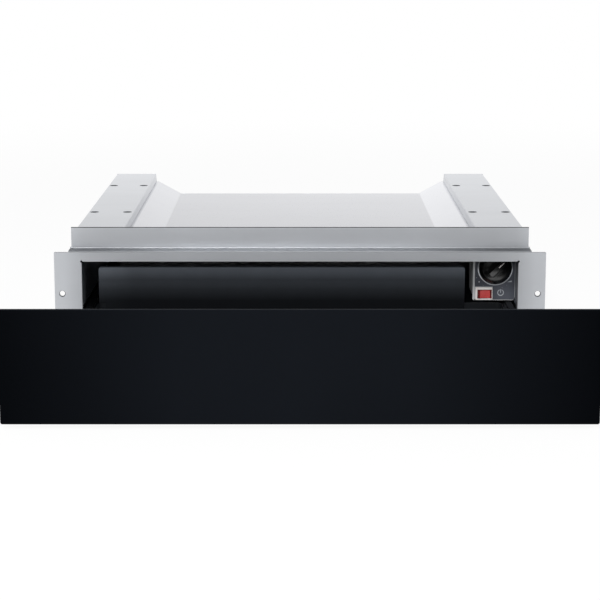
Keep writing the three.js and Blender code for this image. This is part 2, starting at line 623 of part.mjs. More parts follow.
/** Wall between the heated space and the fan, flanged, with outlet and intake slots. */
function rearPartition() {
  const half = PAN_INNER - BEND; // clear of the base pan's folds
  const v0 = SHEET + SEAT + SHEET / 2;
  const v1 = TROUGH_Z - SHEET - SEAT - SHEET / 2;
  const u = PARTITION_Y + SHEET / 2;
  const flange = PARTITION_Y + PARTITION_FLANGE;
  let wall = foldedSheet([[flange, v0], [u, v0], [u, v1], [flange, v1]], SHEET, BEND, "x", -half, half);
  const outletFoot = BACK_PANEL_TOP + OUTLET_RISE;
  for (const x of spread(0, AIR_SLOT_PITCH, AIR_SLOTS)) {
    const from = x - AIR_SLOT_LENGTH / 2;
    const to = from + AIR_SLOT_LENGTH;
    const outlet = roundedRectangle(from, to, outletFoot, outletFoot + AIR_SLOT_HEIGHT, SLOT_CORNER);
    const intakeFoot = FAN_Z - INTAKE_SLOT_HEIGHT / 2;
    const intake = roundedRectangle(from, to, intakeFoot, intakeFoot + INTAKE_SLOT_HEIGHT, SLOT_CORNER);
    for (const slot of [outlet, intake])
      wall = wall.subtract(prism(slot, "y", PARTITION_Y - SHEET, BAY_FRONT + SHEET, 1));
  }
  const through = (x, z, radius) => rod("y", x, z, radius, PARTITION_Y - SHEET, BAY_FRONT + SHEET, 12);
  wall = wall
    .subtract(through(LATCH_X, LATCH_LEVEL, PLUNGER_RADIUS + BORE_PLAY))
    .subtract(through(LOOM_X, LOOM_Z, LOOM_RADIUS + BORE_PLAY));
  return part("rear_partition", wall, galvanised);
}

// ---------------------------------------------------------------- fan, heater and supply

/** Sheet duct round the fan wheel and the heater, closed by two end plates. */
function fanScroll() {
  const s = SCROLL_SHEET;
  const reach = FAN_RADIUS + FAN_TIP_GAP;
  const back = FAN_Y + reach + s / 2;
  const floor = FAN_Z - reach - s / 2;
  const mouth = FAN_Y - reach - s / 2;
  const top = SCROLL_TOP - s / 2;
  const line = [
    [mouth, FAN_Z - reach / 2],
    [mouth, floor],
    [back, floor],
    [back, top - reach],
    [FAN_Y + reach / 2, top],
    [BAY_FRONT + SEAT, top],
  ];
  let duct = foldedSheet(line, s, reach / 3, "x", -SCROLL_HALF, SCROLL_HALF, 5);
  const plates = [-1, 1].map((side) => {
    const outer = side * SCROLL_HALF;
    const inner = side * (SCROLL_HALF - s);
    const outline = roundedRectangle(BAY_FRONT + SEAT, back + s / 2, floor - s / 2, SCROLL_TOP, 2);
    return prism(outline, "x", Math.min(outer, inner), Math.max(outer, inner));
  });
  duct = duct.add(joined(plates));
  const end = SCROLL_HALF + s;
  duct = duct.subtract(rod("x", FAN_Y, FAN_Z, FAN_SHAFT_RADIUS + BORE_PLAY, -end, end, 12));
  const legHole = ELEMENT_RADIUS + BORE_PLAY;
  for (const y of ELEMENT_LEGS)
    duct = duct.subtract(rod("x", y, ELEMENT_Z, legHole, -end, -SCROLL_HALF + 2 * s, 12));
  return part("fan_scroll", duct, zinc);
}

/** Crossflow wheel: three discs, forward-curved blades, and its shaft. */
function fanImpeller() {
  const half = FAN_LENGTH / 2;
  const hub = FAN_SHAFT_RADIUS * 2;
  const shaft = rod("x", 0, 0, FAN_SHAFT_RADIUS, -half - BEARING_REACH, half + MOTOR_REACH, 12);
  const discs = [-half, -FAN_DISC / 2, half - FAN_DISC].map((x) =>
    rod("x", 0, 0, FAN_RADIUS, x, x + FAN_DISC, 24),
  );
  const hubs = [-half, half - hub].map((x) => rod("x", 0, 0, hub, x, x + hub, 12));
  const tip = FAN_RADIUS - BLADE_SHEET / 2;
  const blades = Array.from({ length: FAN_BLADES }, (_, i) => {
    const turn = (2 * Math.PI * i) / FAN_BLADES;
    const at = (radius, lag) => [radius * Math.cos(turn + lag), radius * Math.sin(turn + lag)];
    const line = [at(tip - BLADE_DEPTH, 0.16), at(tip - BLADE_DEPTH / 2, 0.04), at(tip, 0.1)];
    const end = half - FAN_DISC / 2;
    return foldedSheet(line, BLADE_SHEET, BLADE_DEPTH / 2, "x", -end, end, 2);
  });
  const wheel = joined([shaft, ...discs, ...hubs, ...blades]);
  const mesh = part("fan_impeller", wheel, darkMetal);
  mesh.position.set(0, FAN_Y, FAN_Z);
  return mesh;
}

/** Shaded-pole motor on the scroll's right end plate, bored for the wheel's shaft. */
function fanMotor() {
  const start = SCROLL_HALF + SEAT;
  const half = MOTOR_CORE / 2;
  const bell = (from) => rod("x", FAN_Y, FAN_Z, MOTOR_BELL_RADIUS, from, from + MOTOR_BELL_LENGTH);
  const core = prism(
    roundedRectangle(FAN_Y - half, FAN_Y + half, FAN_Z - half, FAN_Z + half, MOTOR_CORNER),
    "x",
    start + MOTOR_BELL_LENGTH,
    start + MOTOR_BELL_LENGTH + MOTOR_CORE_LENGTH,
  );
  const wide = half * COIL_SHARE;
  const crest = FAN_Z + half;
  const coil = prism(
    roundedRectangle(FAN_Y - wide, FAN_Y + wide, crest - 1, crest + COIL_RISE, MOTOR_CORNER),
    "x",
    start + MOTOR_BELL_LENGTH - COIL_OVERHANG,
    start + MOTOR_BELL_LENGTH + MOTOR_CORE_LENGTH + COIL_OVERHANG,
  );
  const bells = [bell(start), bell(start + MOTOR_BELL_LENGTH + MOTOR_CORE_LENGTH)];
  const play = FAN_SHAFT_RADIUS + BORE_PLAY;
  const bore = rod("x", FAN_Y, FAN_Z, play, start - 1, start + MOTOR_LENGTH + 1, 12);
  return part("fan_motor", joined([core, coil, ...bells]).subtract(bore), darkMetal);
}

/** Flanged sleeve bearing on the scroll's left end plate. */
function fanBearing() {
  const face = -SCROLL_HALF - SEAT;
  const wide = BEARING_RADIUS + BEARING_FLANGE;
  const flange = rod("x", FAN_Y, FAN_Z, wide, face - BEARING_FLANGE_SHEET, face);
  const sleeve = rod("x", FAN_Y, FAN_Z, BEARING_RADIUS, face - BEARING_LENGTH, face);
  const play = FAN_SHAFT_RADIUS + BORE_PLAY;
  const bore = rod("x", FAN_Y, FAN_Z, play, face - BEARING_LENGTH - 1, face + 1, 12);
  return part("fan_bearing", flange.add(sleeve).subtract(bore), zinc);
}

/** Hairpin of sheathed heating tube across the duct, with its two ends outside the plate. */
function heatingElement() {
  const [near, far] = ELEMENT_LEGS;
  const start = -SCROLL_HALF - ELEMENT_STUB;
  const turn = SCROLL_HALF - SCROLL_SHEET - ELEMENT_END_SPACE - ELEMENT_BEND;
  const at = (x, y) => new THREE.Vector3(x, y, ELEMENT_Z);
  const path = new THREE.CurvePath();
  path.add(new THREE.LineCurve3(at(start, near), at(turn, near)));
  const kappa = ELEMENT_BEND * 0.5523;
  const middle = (near + far) / 2;
  const crown = turn + ELEMENT_BEND;
  const quarter = (...points) => path.add(new THREE.CubicBezierCurve3(...points));
  quarter(at(turn, near), at(turn + kappa, near), at(crown, middle - kappa), at(crown, middle));
  quarter(at(crown, middle), at(crown, middle + kappa), at(turn + kappa, far), at(turn, far));
  path.add(new THREE.LineCurve3(at(turn, far), at(start, far)));
  let element = tube(path, ELEMENT_RADIUS, 52, 8);
  const cap = start + ELEMENT_STUB * (1 - ELEMENT_CAP_SHARE);
  for (const y of ELEMENT_LEGS)
    element = element.add(rod("x", y, ELEMENT_Z, ELEMENT_RADIUS + ELEMENT_CAP, start, cap, 12));
  return part("heating_element", element, darkMetal);
}

/** Bracket that hangs the hairpin from the top of the duct. */
function elementClip() {
  const [near, far] = ELEMENT_LEGS;
  const at = SCROLL_HALF / 2;
  const t = CLIP_SHEET;
  const margin = ELEMENT_RADIUS + CLIP_MARGIN;
  const ceiling = SCROLL_TOP - SCROLL_SHEET - SEAT;
  const plate = block(at, at + t, near - margin, far + margin, ELEMENT_Z - margin, ceiling);
  const foot = block(at, at + CLIP_FOOT, near - margin, far + margin, ceiling - t, ceiling);
  let clip = plate.add(foot);
  for (const y of ELEMENT_LEGS)
    clip = clip.subtract(rod("x", y, ELEMENT_Z, ELEMENT_RADIUS + BORE_PLAY, at - t, at + 2 * t, 12));
  return part("element_clip", clip, zinc);
}

/** Overheat cut-out: a round switch with two tabs, on the partition's back. */
function safetyCutout() {
  const y = BAY_FRONT + SEAT;
  const plate = prism(
    roundedRectangle(
      CUTOUT_X - CUTOUT_PLATE_HALF,
      CUTOUT_X + CUTOUT_PLATE_HALF,
      CUTOUT_Z - CUTOUT_PLATE_RISE,
      CUTOUT_Z + CUTOUT_PLATE_RISE,
      CUTOUT_PLATE_RISE * 0.7,
    ),
    "y",
    y,
    y + CUTOUT_PLATE,
  );
  const body = rod("y", CUTOUT_X, CUTOUT_Z, CUTOUT_RADIUS, y, y + CUTOUT_LENGTH);
  const tip = y + CUTOUT_LENGTH + CUTOUT_TAB;
  const half = CUTOUT_TAB_SHEET / 2;
  const tall = CUTOUT_PLATE_RISE / 2;
  const blades = spread(CUTOUT_X, CUTOUT_TAB_SPACING, 2).map((x) =>
    block(x - half, x + half, y + CUTOUT_PLATE, tip, CUTOUT_Z - tall, CUTOUT_Z + tall),
  );
  return part("safety_cutout", joined([plate, body, ...blades]), blackPlastic);
}

/** Three-pole mains terminal block on the base pan, with screw wells and wire ways. */
function terminalBlock() {
  const foot = SHEET + SEAT;
  const y = BACK_Y - REAR_BAY / 2;
  const half = TERMINAL_WIDTH / 2;
  const depth = TERMINAL_DEPTH / 2;
  const top = foot + TERMINAL_HEIGHT;
  const way = foot + TERMINAL_HEIGHT * 0.35;
  let body = block(TERMINAL_X - half, TERMINAL_X + half, y - depth, y + depth, foot, top);
  for (const x of spread(TERMINAL_X, TERMINAL_WIDTH / 3, 3))
    body = body
      .subtract(rod("z", x, y, TERMINAL_WELL, foot + TERMINAL_HEIGHT * 0.6, top + 1, 10))
      .subtract(rod("y", x, way, TERMINAL_WAY, y - depth - 1, y + depth + 1, 10));
  return part("terminal_block", body, ceramic);
}

/** Cable gland through the back wall: flange, neck, inner nut and bore. */
function cableGland() {
  const outer = BACK_Y + SEAT;
  const inner = BACK_Y - SHEET - SEAT;
  const flange = rod("y", GLAND_X, GLAND_LEVEL, GLAND_FLANGE, outer, outer + GLAND_FLANGE_LENGTH);
  const neck = rod("y", GLAND_X, GLAND_LEVEL, GLAND_RADIUS, inner - 1, outer + 1);
  const nut = rod("y", GLAND_X, GLAND_LEVEL, GLAND_FLANGE, inner - GLAND_FLANGE_LENGTH, inner, 6);
  const bore = rod("y", GLAND_X, GLAND_LEVEL, GLAND_BORE, inner - 20, outer + 20, 12);
  return part("cable_gland", joined([flange, neck, nut]).subtract(bore), blackPlastic);
}

// ---------------------------------------------------------------- controls

/** Open-backed box behind the frame's right side, cut for the shaft and the switch. */
function controlBox() {
  const w = CONTROL_WALL;
  const outline = (inset, corner) =>
    roundedRectangle(
      CONTROL_LEFT + inset,
      CONTROL_RIGHT - inset,
      CONTROL_BOTTOM + inset,
      CONTROL_TOP - inset,
      corner,
    );
  const outer = outline(0, CONTROL_CORNER);
  const inner = outline(w, CONTROL_CORNER - w);
  const shell = prism(outer, "y", CONTROL_Y, CONTROL_BACK);
  const hollow = prism(inner, "y", CONTROL_Y + w, CONTROL_BACK + 1, 2);
  const shaftHole = rod("y", KNOB_X, KNOB_Z, SHAFT_RADIUS + 2, CONTROL_Y - 1, CONTROL_Y + w + 1);
  const halfWidth = SWITCH_WIDTH / 2 - SWITCH_BODY_INSET + BORE_PLAY;
  const halfHeight = SWITCH_HEIGHT / 2 - SWITCH_BODY_INSET + BORE_PLAY;
  const switchHole = block(
    SWITCH_X - halfWidth,
    SWITCH_X + halfWidth,
    CONTROL_Y - 1,
    CONTROL_Y + w + 1,
    SWITCH_Z - halfHeight,
    SWITCH_Z + halfHeight,
  );
  const box = shell.subtract(hollow).subtract(shaftHole).subtract(switchHole);
  return part("control_box", box, paleCase);
}

/** Printed film on the box's face, cut back round the switch. */
function controlLabel() {
  const left = CONTROL_LEFT + LABEL_MARGIN / 2;
  const right = CONTROL_RIGHT - LABEL_MARGIN / 2;
  const top = CONTROL_TOP - LABEL_MARGIN / 2;
  const bottom = CONTROL_BOTTOM + LABEL_MARGIN;
  const outline = polygon([
    [left, CONTROL_BOTTOM + LABEL_CUT_HEIGHT],
    [CONTROL_LEFT + LABEL_CUT_WIDTH, CONTROL_BOTTOM + LABEL_CUT_HEIGHT],
    [CONTROL_LEFT + LABEL_CUT_WIDTH, bottom],
    [right, bottom],
    [right, top],
    [left, top],
  ]);
  const film = prism(outline, "y", LABEL_Y, LABEL_Y + LABEL_THICKNESS);
  const hole = rod("y", KNOB_X, KNOB_Z, SHAFT_RADIUS + 2, LABEL_Y - 1, LABEL_Y + 1);
  return part("control_label", film.subtract(hole), labelFilm);
}

/** Pale ring round the knob. */
function dialRing() {
  const outer = KNOB_RADIUS + DIAL_RING_WIDTH + DIAL_GAP;
  const ring = rod("y", KNOB_X, KNOB_Z, outer, DIAL_Y, DIAL_Y + DIAL_RING_THICKNESS, 36);
  const inner = outer - DIAL_RING_WIDTH - DIAL_TUCK;
  const hole = rod("y", KNOB_X, KNOB_Z, inner, DIAL_Y - 1, DIAL_Y + 1, 36);
  return part("dial_ring", ring.subtract(hole), paleCase);
}

/** Thermostat body behind the box's face, with its stem and mounting plate. */
function thermostat() {
  const face = CONTROL_Y + CONTROL_WALL + SEAT;
  const back = face + THERMOSTAT_PLATE;
  const wide = THERMOSTAT_PLATE_HALF;
  const tall = THERMOSTAT_PLATE_RISE;
  const body = rod("y", KNOB_X, KNOB_Z, THERMOSTAT_RADIUS, back, face + THERMOSTAT_LENGTH);
  const outline = roundedRectangle(KNOB_X - wide, KNOB_X + wide, KNOB_Z - tall, KNOB_Z + tall, 3);
  const plate = prism(outline, "y", face, back);
  const stem = rod("y", KNOB_X, KNOB_Z, SHAFT_RADIUS, KNOB_FOOT - KNOB_BORE_DEPTH + 1, face + 1, 16);
  return part("thermostat", joined([body, plate, stem]), zinc);
}

/** Knob: a turned skirt with a tapered grip bar across it and a pointer groove. */
function thermostatKnob() {
  const r = KNOB_RADIUS;
  const skirt = turned([
    [0, 0],
    [r, 0],
    [r, KNOB_SKIRT * 0.6],
    [r - SKIRT_BEVEL, KNOB_SKIRT],
    [0, KNOB_SKIRT + 0.8],
  ]);
  const foot = GRIP_FOOT_WIDTH / 2;
  const crest = GRIP_WIDTH / 2;
  const across = polygon([
    [-foot, KNOB_SKIRT * 0.6],
    [foot, KNOB_SKIRT * 0.6],
    [crest, KNOB_HEIGHT - GRIP_BEVEL],
    [crest - GRIP_BEVEL, KNOB_HEIGHT],
    [-crest + GRIP_BEVEL, KNOB_HEIGHT],
    [-crest, KNOB_HEIGHT - GRIP_BEVEL],
  ]);
  // Drawn across X and up, the bar runs along the knob's own Y.
  const bar = prism(across, "y", -r, r);
  const round = rod("z", 0, 0, r - 0.6, 0, KNOB_HEIGHT, 40);
  const bore = rod("z", 0, 0, SHAFT_RADIUS + BORE_PLAY, -1, KNOB_BORE_DEPTH, 16);
  const line = POINTER_WIDTH / 2;
  const floor = KNOB_HEIGHT - POINTER_DEPTH;
  const groove = block(-line, line, r * 0.35, r + 1, floor, KNOB_HEIGHT + 1);
  const knob = skirt.add(bar.intersect(round)).subtract(bore).subtract(groove);
  const mesh = part("thermostat_knob", knob, blackPlastic);
  // The knob's own Z is turned to face the user, then the grip to its rest mark.
  const facing = new THREE.Group();
  facing.position.set(KNOB_X, KNOB_FOOT, KNOB_Z);
  facing.rotation.x = Math.PI / 2;
  mesh.rotation.z = THREE.MathUtils.degToRad(KNOB_TURN);
  facing.add(mesh);
  return facing;
}

/** Switch body with its bezel, and a pocket for the rocker. */
function powerSwitch() {
  const face = CONTROL_Y - SEAT;
  const w = SWITCH_WIDTH / 2;
  const h = SWITCH_HEIGHT / 2;
  const frame = roundedRectangle(SWITCH_X - w, SWITCH_X + w, SWITCH_Z - h, SWITCH_Z + h, 1.5);
  const bezel = prism(frame, "y", face - SWITCH_BEZEL, face);
  const bw = w - SWITCH_BODY_INSET;
  const bh = h - SWITCH_BODY_INSET;
  const back = face + SWITCH_DEPTH;
  const body = block(SWITCH_X - bw, SWITCH_X + bw, face - 1, back, SWITCH_Z - bh, SWITCH_Z + bh);
  const reach = ROCKER_SWEEP + RUNNING * 0.6;
  const rise = ROCKER_HEIGHT / 2 + RUNNING;
  const pocket = block(
    SWITCH_X - reach,
    SWITCH_X + reach,
    face - SWITCH_BEZEL - 1,
    ROCKER_Y + ROCKER_SWEEP * 0.55,
    SWITCH_Z - rise,
    SWITCH_Z + rise,
  );
  return part("power_switch", bezel.add(body).subtract(pocket), paleCase);
}

/** Dished rocker, its ends round about its pivot, tipped to one side. */
function powerRocker() {
  const w = ROCKER_LENGTH / 2;
  const shape = new THREE.Shape();
  const corner = Math.atan2(ROCKER_PROUD, w);
  shape.moveTo(-w, -ROCKER_PROUD);
  shape.lineTo(0, -ROCKER_PROUD + ROCKER_DISH);
  shape.lineTo(w, -ROCKER_PROUD);
  shape.absarc(0, 0, ROCKER_SWEEP, -corner, corner);
  shape.lineTo(w * 0.4, ROCKER_PROUD + 1.2);
  shape.lineTo(-w * 0.4, ROCKER_PROUD + 1.2);
  shape.absarc(0, 0, ROCKER_SWEEP, Math.PI - corner, Math.PI + corner);
  const rocker = prism(shape, "z", -ROCKER_HEIGHT / 2, ROCKER_HEIGHT / 2, 4);
  const mesh = part("power_rocker", rocker, redPlastic);
  mesh.position.set(SWITCH_X, ROCKER_Y, SWITCH_Z);
  mesh.rotation.z = THREE.MathUtils.degToRad(ROCKER_THROW);
  return mesh;
}

/** Capillary from the thermostat to its bulb at the back of the heated space. */
function capillarySensor() {
  const start = CONTROL_Y + CONTROL_WALL + SEAT + THERMOSTAT_LENGTH + SEAT;
  const end = PARTITION_Y - TRAY_REAR_ROOM - BULB_LENGTH;
  const x = CONTROL_LEFT + CONTROL_WIDTH / 3;
  const z = LINER_CEILING - SEAT - BULB_RADIUS;
  const route = new THREE.CatmullRomCurve3([
    new THREE.Vector3(KNOB_X, start, KNOB_Z),
    new THREE.Vector3(KNOB_X, start + 18, KNOB_Z),
    new THREE.Vector3(x, CONTROL_BACK + 15, z - 6),
    new THREE.Vector3(x, CONTROL_BACK + CONTROL_TAIL, z),
    new THREE.Vector3(x, end - 30, z),
    new THREE.Vector3(x, end + 1, z),
  ]);
  const line = tube(route, CAPILLARY_RADIUS, 32, 6);
  const bulb = rod("y", x, z, BULB_RADIUS, end, end + BULB_LENGTH, 16);
  return part("capillary_sensor", line.add(bulb), zinc);
}

/** Sleeved wires from the control box, through the partition and behind the fan, to the
 * terminal block. */
function wiringLoom() {
  const back = BACK_Y - SHEET - LOOM_BEHIND;
  const terminalY = BACK_Y - REAR_BAY / 2;
  const terminalTop = SHEET + SEAT + TERMINAL_HEIGHT + SEAT;
  const points = [
    [LOOM_X, CONTROL_BACK - 30, LOOM_Z],
    [LOOM_X, CONTROL_BACK + CONTROL_TAIL, LOOM_Z],
    [LOOM_X, PARTITION_Y - CONTROL_TAIL, LOOM_Z],
    [LOOM_X, BAY_FRONT + 10, LOOM_Z],
    [LOOM_X - 2, BAY_FRONT + 35, LOOM_Z - 1],
    [LOOM_X - 12, back - 7, LOOM_Z - 2],
    [LOOM_X - 28, back - 1, LOOM_Z - 3],
    [LOOM_X - 50, back, LOOM_Z - 3],
    [0, back, LOOM_Z - 4],
    [TERMINAL_X + 50, back, LOOM_Z - 4],
    [TERMINAL_X + 25, back - 1, LOOM_Z - 7],
    [TERMINAL_X + 8, back - 8, LOOM_Z - 20],
    [TERMINAL_X, terminalY + 2, terminalTop + 30],
    [TERMINAL_X, terminalY, terminalTop + 14],
    [TERMINAL_X, terminalY, terminalTop + SEAT],
  ];
  const route = new THREE.CatmullRomCurve3(points.map((xyz) => new THREE.Vector3(...xyz)));
  return part("wiring_loom", tube(route, LOOM_RADIUS, 50, 8), blackPlastic);
}

// ---------------------------------------------------------------- telescopic slides

/** A channel of the slide: its web at `web`, its lips reaching to `lip`, on one side. */
function slideChannel(side, web, lip, foot, head) {
  const s = SLIDE_SHEET / 2;
  const section = [[lip, foot + s], [web, foot + s], [web, head - s], [lip, head - s]];
  return section.map(([x, z]) => [side * x, z]);
}

/** Holes along a slide member's web. */
function slideHoles(side, web, start, end) {
  const count = Math.max(2, Math.floor((end - start) / SLIDE_HOLE_PITCH));
  const level = (SLIDE_BOTTOM + SLIDE_TOP) / 2;
  const places = spread((start + end) / 2, SLIDE_HOLE_PITCH, count);
  const x = side * web;
  return joined(places.map((y) => rod("x", y, level, SLIDE_HOLE_RADIUS, x - 2, x + 2, 10)));
}

/** Hat-shaped strip that holds a fixed slide member off the liner. */
function slideBracket(name, side) {
  const start = EAR_Y + SLIDE_FRONT;
  const s = SLIDE_BRACKET_SHEET / 2;
  const outer = LINER_INNER - SEAT - s;
  const inner = outer - SLIDE_BRACKET + 2 * s;
  const foot = SLIDE_BOTTOM + SLIDE_BRACKET_INSET;
  const head = SLIDE_TOP - SLIDE_BRACKET_INSET;
  const step = SLIDE_HEIGHT * SLIDE_BRACKET_SHARE;
  const section = [
    [outer, foot],
    [outer, foot + step],
    [inner, foot + step],
    [inner, head - step],
    [outer, head - step],
    [outer, head],
  ];
  const line = section.map(([x, z]) => [side * x, z]);
  return part(name, foldedSheet(line, SLIDE_BRACKET_SHEET, 0.8, "y", start, SLIDE_END, 2), zinc);
}

/** Fixed member: a channel open towards the drawer. */
function slideOuter(name, side) {
  const web = SLIDE_OUTER - SLIDE_SHEET / 2;
  const lip = SLIDE_INNER + SLIDE_THICKNESS / 3;
  const line = slideChannel(side, web, lip, SLIDE_BOTTOM, SLIDE_TOP);
  const start = EAR_Y + SLIDE_FRONT;
  const channel = foldedSheet(line, SLIDE_SHEET, 1, "y", start, SLIDE_END, 2);
  return part(name, channel.subtract(slideHoles(side, web, start, SLIDE_END)), zinc);
}

/** Middle member: a web between two full-depth lips. */
function slideMiddle(name, side) {
  const clear = SLIDE_SHEET + SLIDE_PLAY;
  const foot = SLIDE_BOTTOM + clear;
  const head = SLIDE_TOP - clear;
  const near = SLIDE_INNER + SLIDE_SHEET + RUNNING;
  const far = SLIDE_OUTER - SLIDE_SHEET - RUNNING;
  const start = EAR_Y + SLIDE_FRONT;
  const lip = (z) => {
    const edges = [side * near, side * far].sort((a, b) => a - b);
    return block(edges[0], edges[1], start, SLIDE_END, z, z + SLIDE_SHEET);
  };
  const x = side * SLIDE_MIDDLE_WEB;
  const web = block(x - SLIDE_SHEET / 2, x + SLIDE_SHEET / 2, start, SLIDE_END, foot, head);
  const member = joined([lip(foot), lip(head - SLIDE_SHEET), web]);
  return part(name, member.subtract(slideHoles(side, SLIDE_MIDDLE_WEB, start, SLIDE_END)), zinc);
}

/** Inner member on the tray's side: a channel open outwards. */
function slideInner(name, side) {
  const clear = 2 * (SLIDE_SHEET + SLIDE_PLAY);
  const web = SLIDE_INNER + SLIDE_SHEET / 2;
  const lip = SLIDE_MIDDLE_WEB - SLIDE_SHEET / 2 - RUNNING;
  const line = slideChannel(side, web, lip, SLIDE_BOTTOM + clear, SLIDE_TOP - clear);
  const channel = foldedSheet(line, SLIDE_SHEET, 1, "y", EAR_Y, SLIDE_END, 2);
  return part(name, channel.subtract(slideHoles(side, web, EAR_Y, SLIDE_END)), zinc);
}

// ---------------------------------------------------------------- push latch

/** Push latch behind the partition: a bored body with a mounting flange. */
function latchBody() {
  const half = LATCH_WIDTH / 2;
  const start = BAY_FRONT + SEAT;
  const end = start + LATCH_LENGTH;
  const across = (reach) =>
    roundedRectangle(LATCH_X - reach, LATCH_X + reach, LATCH_LEVEL - half, LATCH_LEVEL + half, 3);
  const body = prism(across(half), "y", start, end).add(
    prism(across(half + LATCH_FLANGE), "y", start, start + LATCH_FLANGE_SHEET),
  );
  const bore = rod("y", LATCH_X, LATCH_LEVEL, PLUNGER_RADIUS + BORE_PLAY, start - 1, end - LATCH_END_WALL, 16);
  return part("latch_body", body.subtract(bore), blackPlastic);
}

/** Sprung plunger that pushes the closed drawer out. */
function latchPlunger() {
  const tip = TRAY_BACK + STRIKER_THICKNESS + SEAT + RUNNING;
  const end = BAY_FRONT + SEAT + LATCH_LENGTH - LATCH_END_WALL - PLUNGER_STROKE - 2;
  const stem = rod("y", LATCH_X, LATCH_LEVEL, PLUNGER_RADIUS, tip + 1, end, 16);
  const nose = rod("y", LATCH_X, LATCH_LEVEL, PLUNGER_RADIUS - 1, tip, tip + 2, 16);
  return part("latch_plunger", stem.add(nose), blackPlastic);
}

/** Steel plate on the tray's back that meets the plunger. */
function latchStriker() {
  const half = STRIKER_WIDTH / 2;
  const tall = STRIKER_HEIGHT / 2;
  const left = LATCH_X - half;
  const shape = roundedRectangle(left, LATCH_X + half, LATCH_LEVEL - tall, LATCH_LEVEL + tall, 2);
  const y = TRAY_BACK + SEAT;
  return part("latch_striker", prism(shape, "y", y, y + STRIKER_THICKNESS), zinc);
}

// ---------------------------------------------------------------- drawer

/** Black glass sheet with softened edges. */
function frontGlass() {
  const c = GLASS_CHAMFER;
  const half = PANEL_WIDTH / 2 - c;
  const top = PANEL_BOTTOM + PANEL_HEIGHT;
  const shape = roundedRectangle(-half, half, PANEL_BOTTOM + c, top - c, GLASS_CORNER);
  const depth = GLASS - 2 * c;
  const geometry = new THREE.ExtrudeGeometry(shape, {
    depth,
    bevelThickness: c,
    bevelSize: c,
    bevelSegments: 2,
    curveSegments: 2,
  });
  const back = PANEL_BACK - CARRIER_DEPTH - SEAT;
  return part("front_glass", layAlong(geometry, "y", back - GLASS + c, depth), blackGlass);
}

/** Shallow folded pan behind the glass, open towards it. */
function frontCarrier() {
  const s = CARRIER_SHEET;
  const half = PANEL_WIDTH / 2 - CARRIER_MARGIN;
  const foot = PANEL_BOTTOM + CARRIER_MARGIN;
  const head = PANEL_BOTTOM + PANEL_HEIGHT - CARRIER_MARGIN;
  const front = PANEL_BACK - CARRIER_DEPTH;
  const outline = (inset) =>
    roundedRectangle(-half + inset, half - inset, foot + inset, head - inset, CARRIER_CORNER - inset);
  const outer = prism(outline(0), "y", front, PANEL_BACK);
  const inner = prism(outline(s), "y", front - 1, PANEL_BACK - s);
  return part("front_carrier", outer.subtract(inner), blackSheet);
}

/** Gusset that ties the tray's side to the back of the front panel. */
function frontGusset(name, side) {
  const s = GUSSET_SHEET;
  const x = TRAY_HALF - TRAY_SHEET - SEAT;
  const foot = TRAY_BOTTOM + TRAY_SHEET + SEAT;
  const y = PANEL_BACK + SEAT;
  const inTray = y + TRAY_CORNER;
  const overWall = TRAY_WALL_TOP + SEAT;
  const plate = polygon([
    [inTray, foot],
    [y + GUSSET_LENGTH, foot],
    [y + GUSSET_LENGTH, TRAY_WALL_TOP],
    [y + GUSSET_FOOT, GUSSET_TOP],
    [y, GUSSET_TOP],
    [y, overWall],
    [inTray, overWall],
  ]);
  const [x0, x1] = [side * x, side * (x - s)].sort((a, b) => a - b);
  const [t0, t1] = [side * x, side * (x - GUSSET_FOOT)].sort((a, b) => a - b);
  const tab = block(t0, t1, y, y + s, overWall, GUSSET_TOP);
  return part(name, prism(plate, "x", x0, x1).add(tab), zinc);
}

/** Low-walled tray. */
function trayPan() {
  const s = TRAY_SHEET;
  const half = TRAY_HALF;
  const outline = (inset) =>
    roundedRectangle(-half + inset, half - inset, TRAY_FRONT + inset, TRAY_BACK - inset, TRAY_CORNER - inset);
  const outer = prism(outline(0), "z", TRAY_BOTTOM, TRAY_WALL_TOP);
  const room = prism(outline(s), "z", TRAY_BOTTOM + s, TRAY_WALL_TOP + 1);
  return part("tray_pan", outer.subtract(room), trayCoat);
}

/** High back of the tray, stopping short of the control box, with its top folded back. */
function trayBackPanel() {
  const s = BACK_PANEL_SHEET;
  const left = -TRAY_HALF + BACK_PANEL_EDGE;
  const right = CONTROL_LEFT - BACK_PANEL_CONTROL_GAP;
  const y = TRAY_BACK - TRAY_SHEET - SEAT - s / 2;
  const foot = TRAY_BOTTOM + TRAY_SHEET + SEAT;
  const crest = BACK_PANEL_TOP - s / 2;
  const line = [[y, foot], [y, crest], [y + BACK_PANEL_FLANGE, crest]];
  const sheet = foldedSheet(line, s, s, "x", left, right, 3);
  const outline = new THREE.Shape();
  const r = BACK_PANEL_CORNER;
  outline.moveTo(left + TRAY_CORNER, foot - 1);
  outline.lineTo(right, foot - 1);
  outline.lineTo(right, BACK_PANEL_TOP - r);
  outline.absarc(right - r, BACK_PANEL_TOP - r, r, 0, Math.PI / 2);
  outline.absarc(left + r, BACK_PANEL_TOP - r, r, Math.PI / 2, Math.PI);
  outline.lineTo(left, TRAY_WALL_TOP + SEAT);
  outline.lineTo(left + TRAY_CORNER, TRAY_WALL_TOP + SEAT);
  outline.closePath();
  const trimmed = sheet.intersect(prism(outline, "y", y - 2 * s, y + BACK_PANEL_FLANGE + s));
  return part("tray_back_panel", trimmed, trayCoat);
}

/** Non-slip mat in the tray. */
function trayMat() {
  const edge = TRAY_HALF - TRAY_SHEET - SEAT - GUSSET_SHEET - MAT_MARGIN;
  const front = TRAY_FRONT + TRAY_SHEET + MAT_MARGIN;
  const back = TRAY_BACK - TRAY_SHEET - SEAT - BACK_PANEL_SHEET - MAT_MARGIN;
  const foot = TRAY_BOTTOM + TRAY_SHEET + GLUED;
  const outline = roundedRectangle(-edge, edge, front, back, TRAY_CORNER);
  return part("tray_mat", prism(outline, "z", foot, foot + MAT_THICKNESS), matRubber);
}

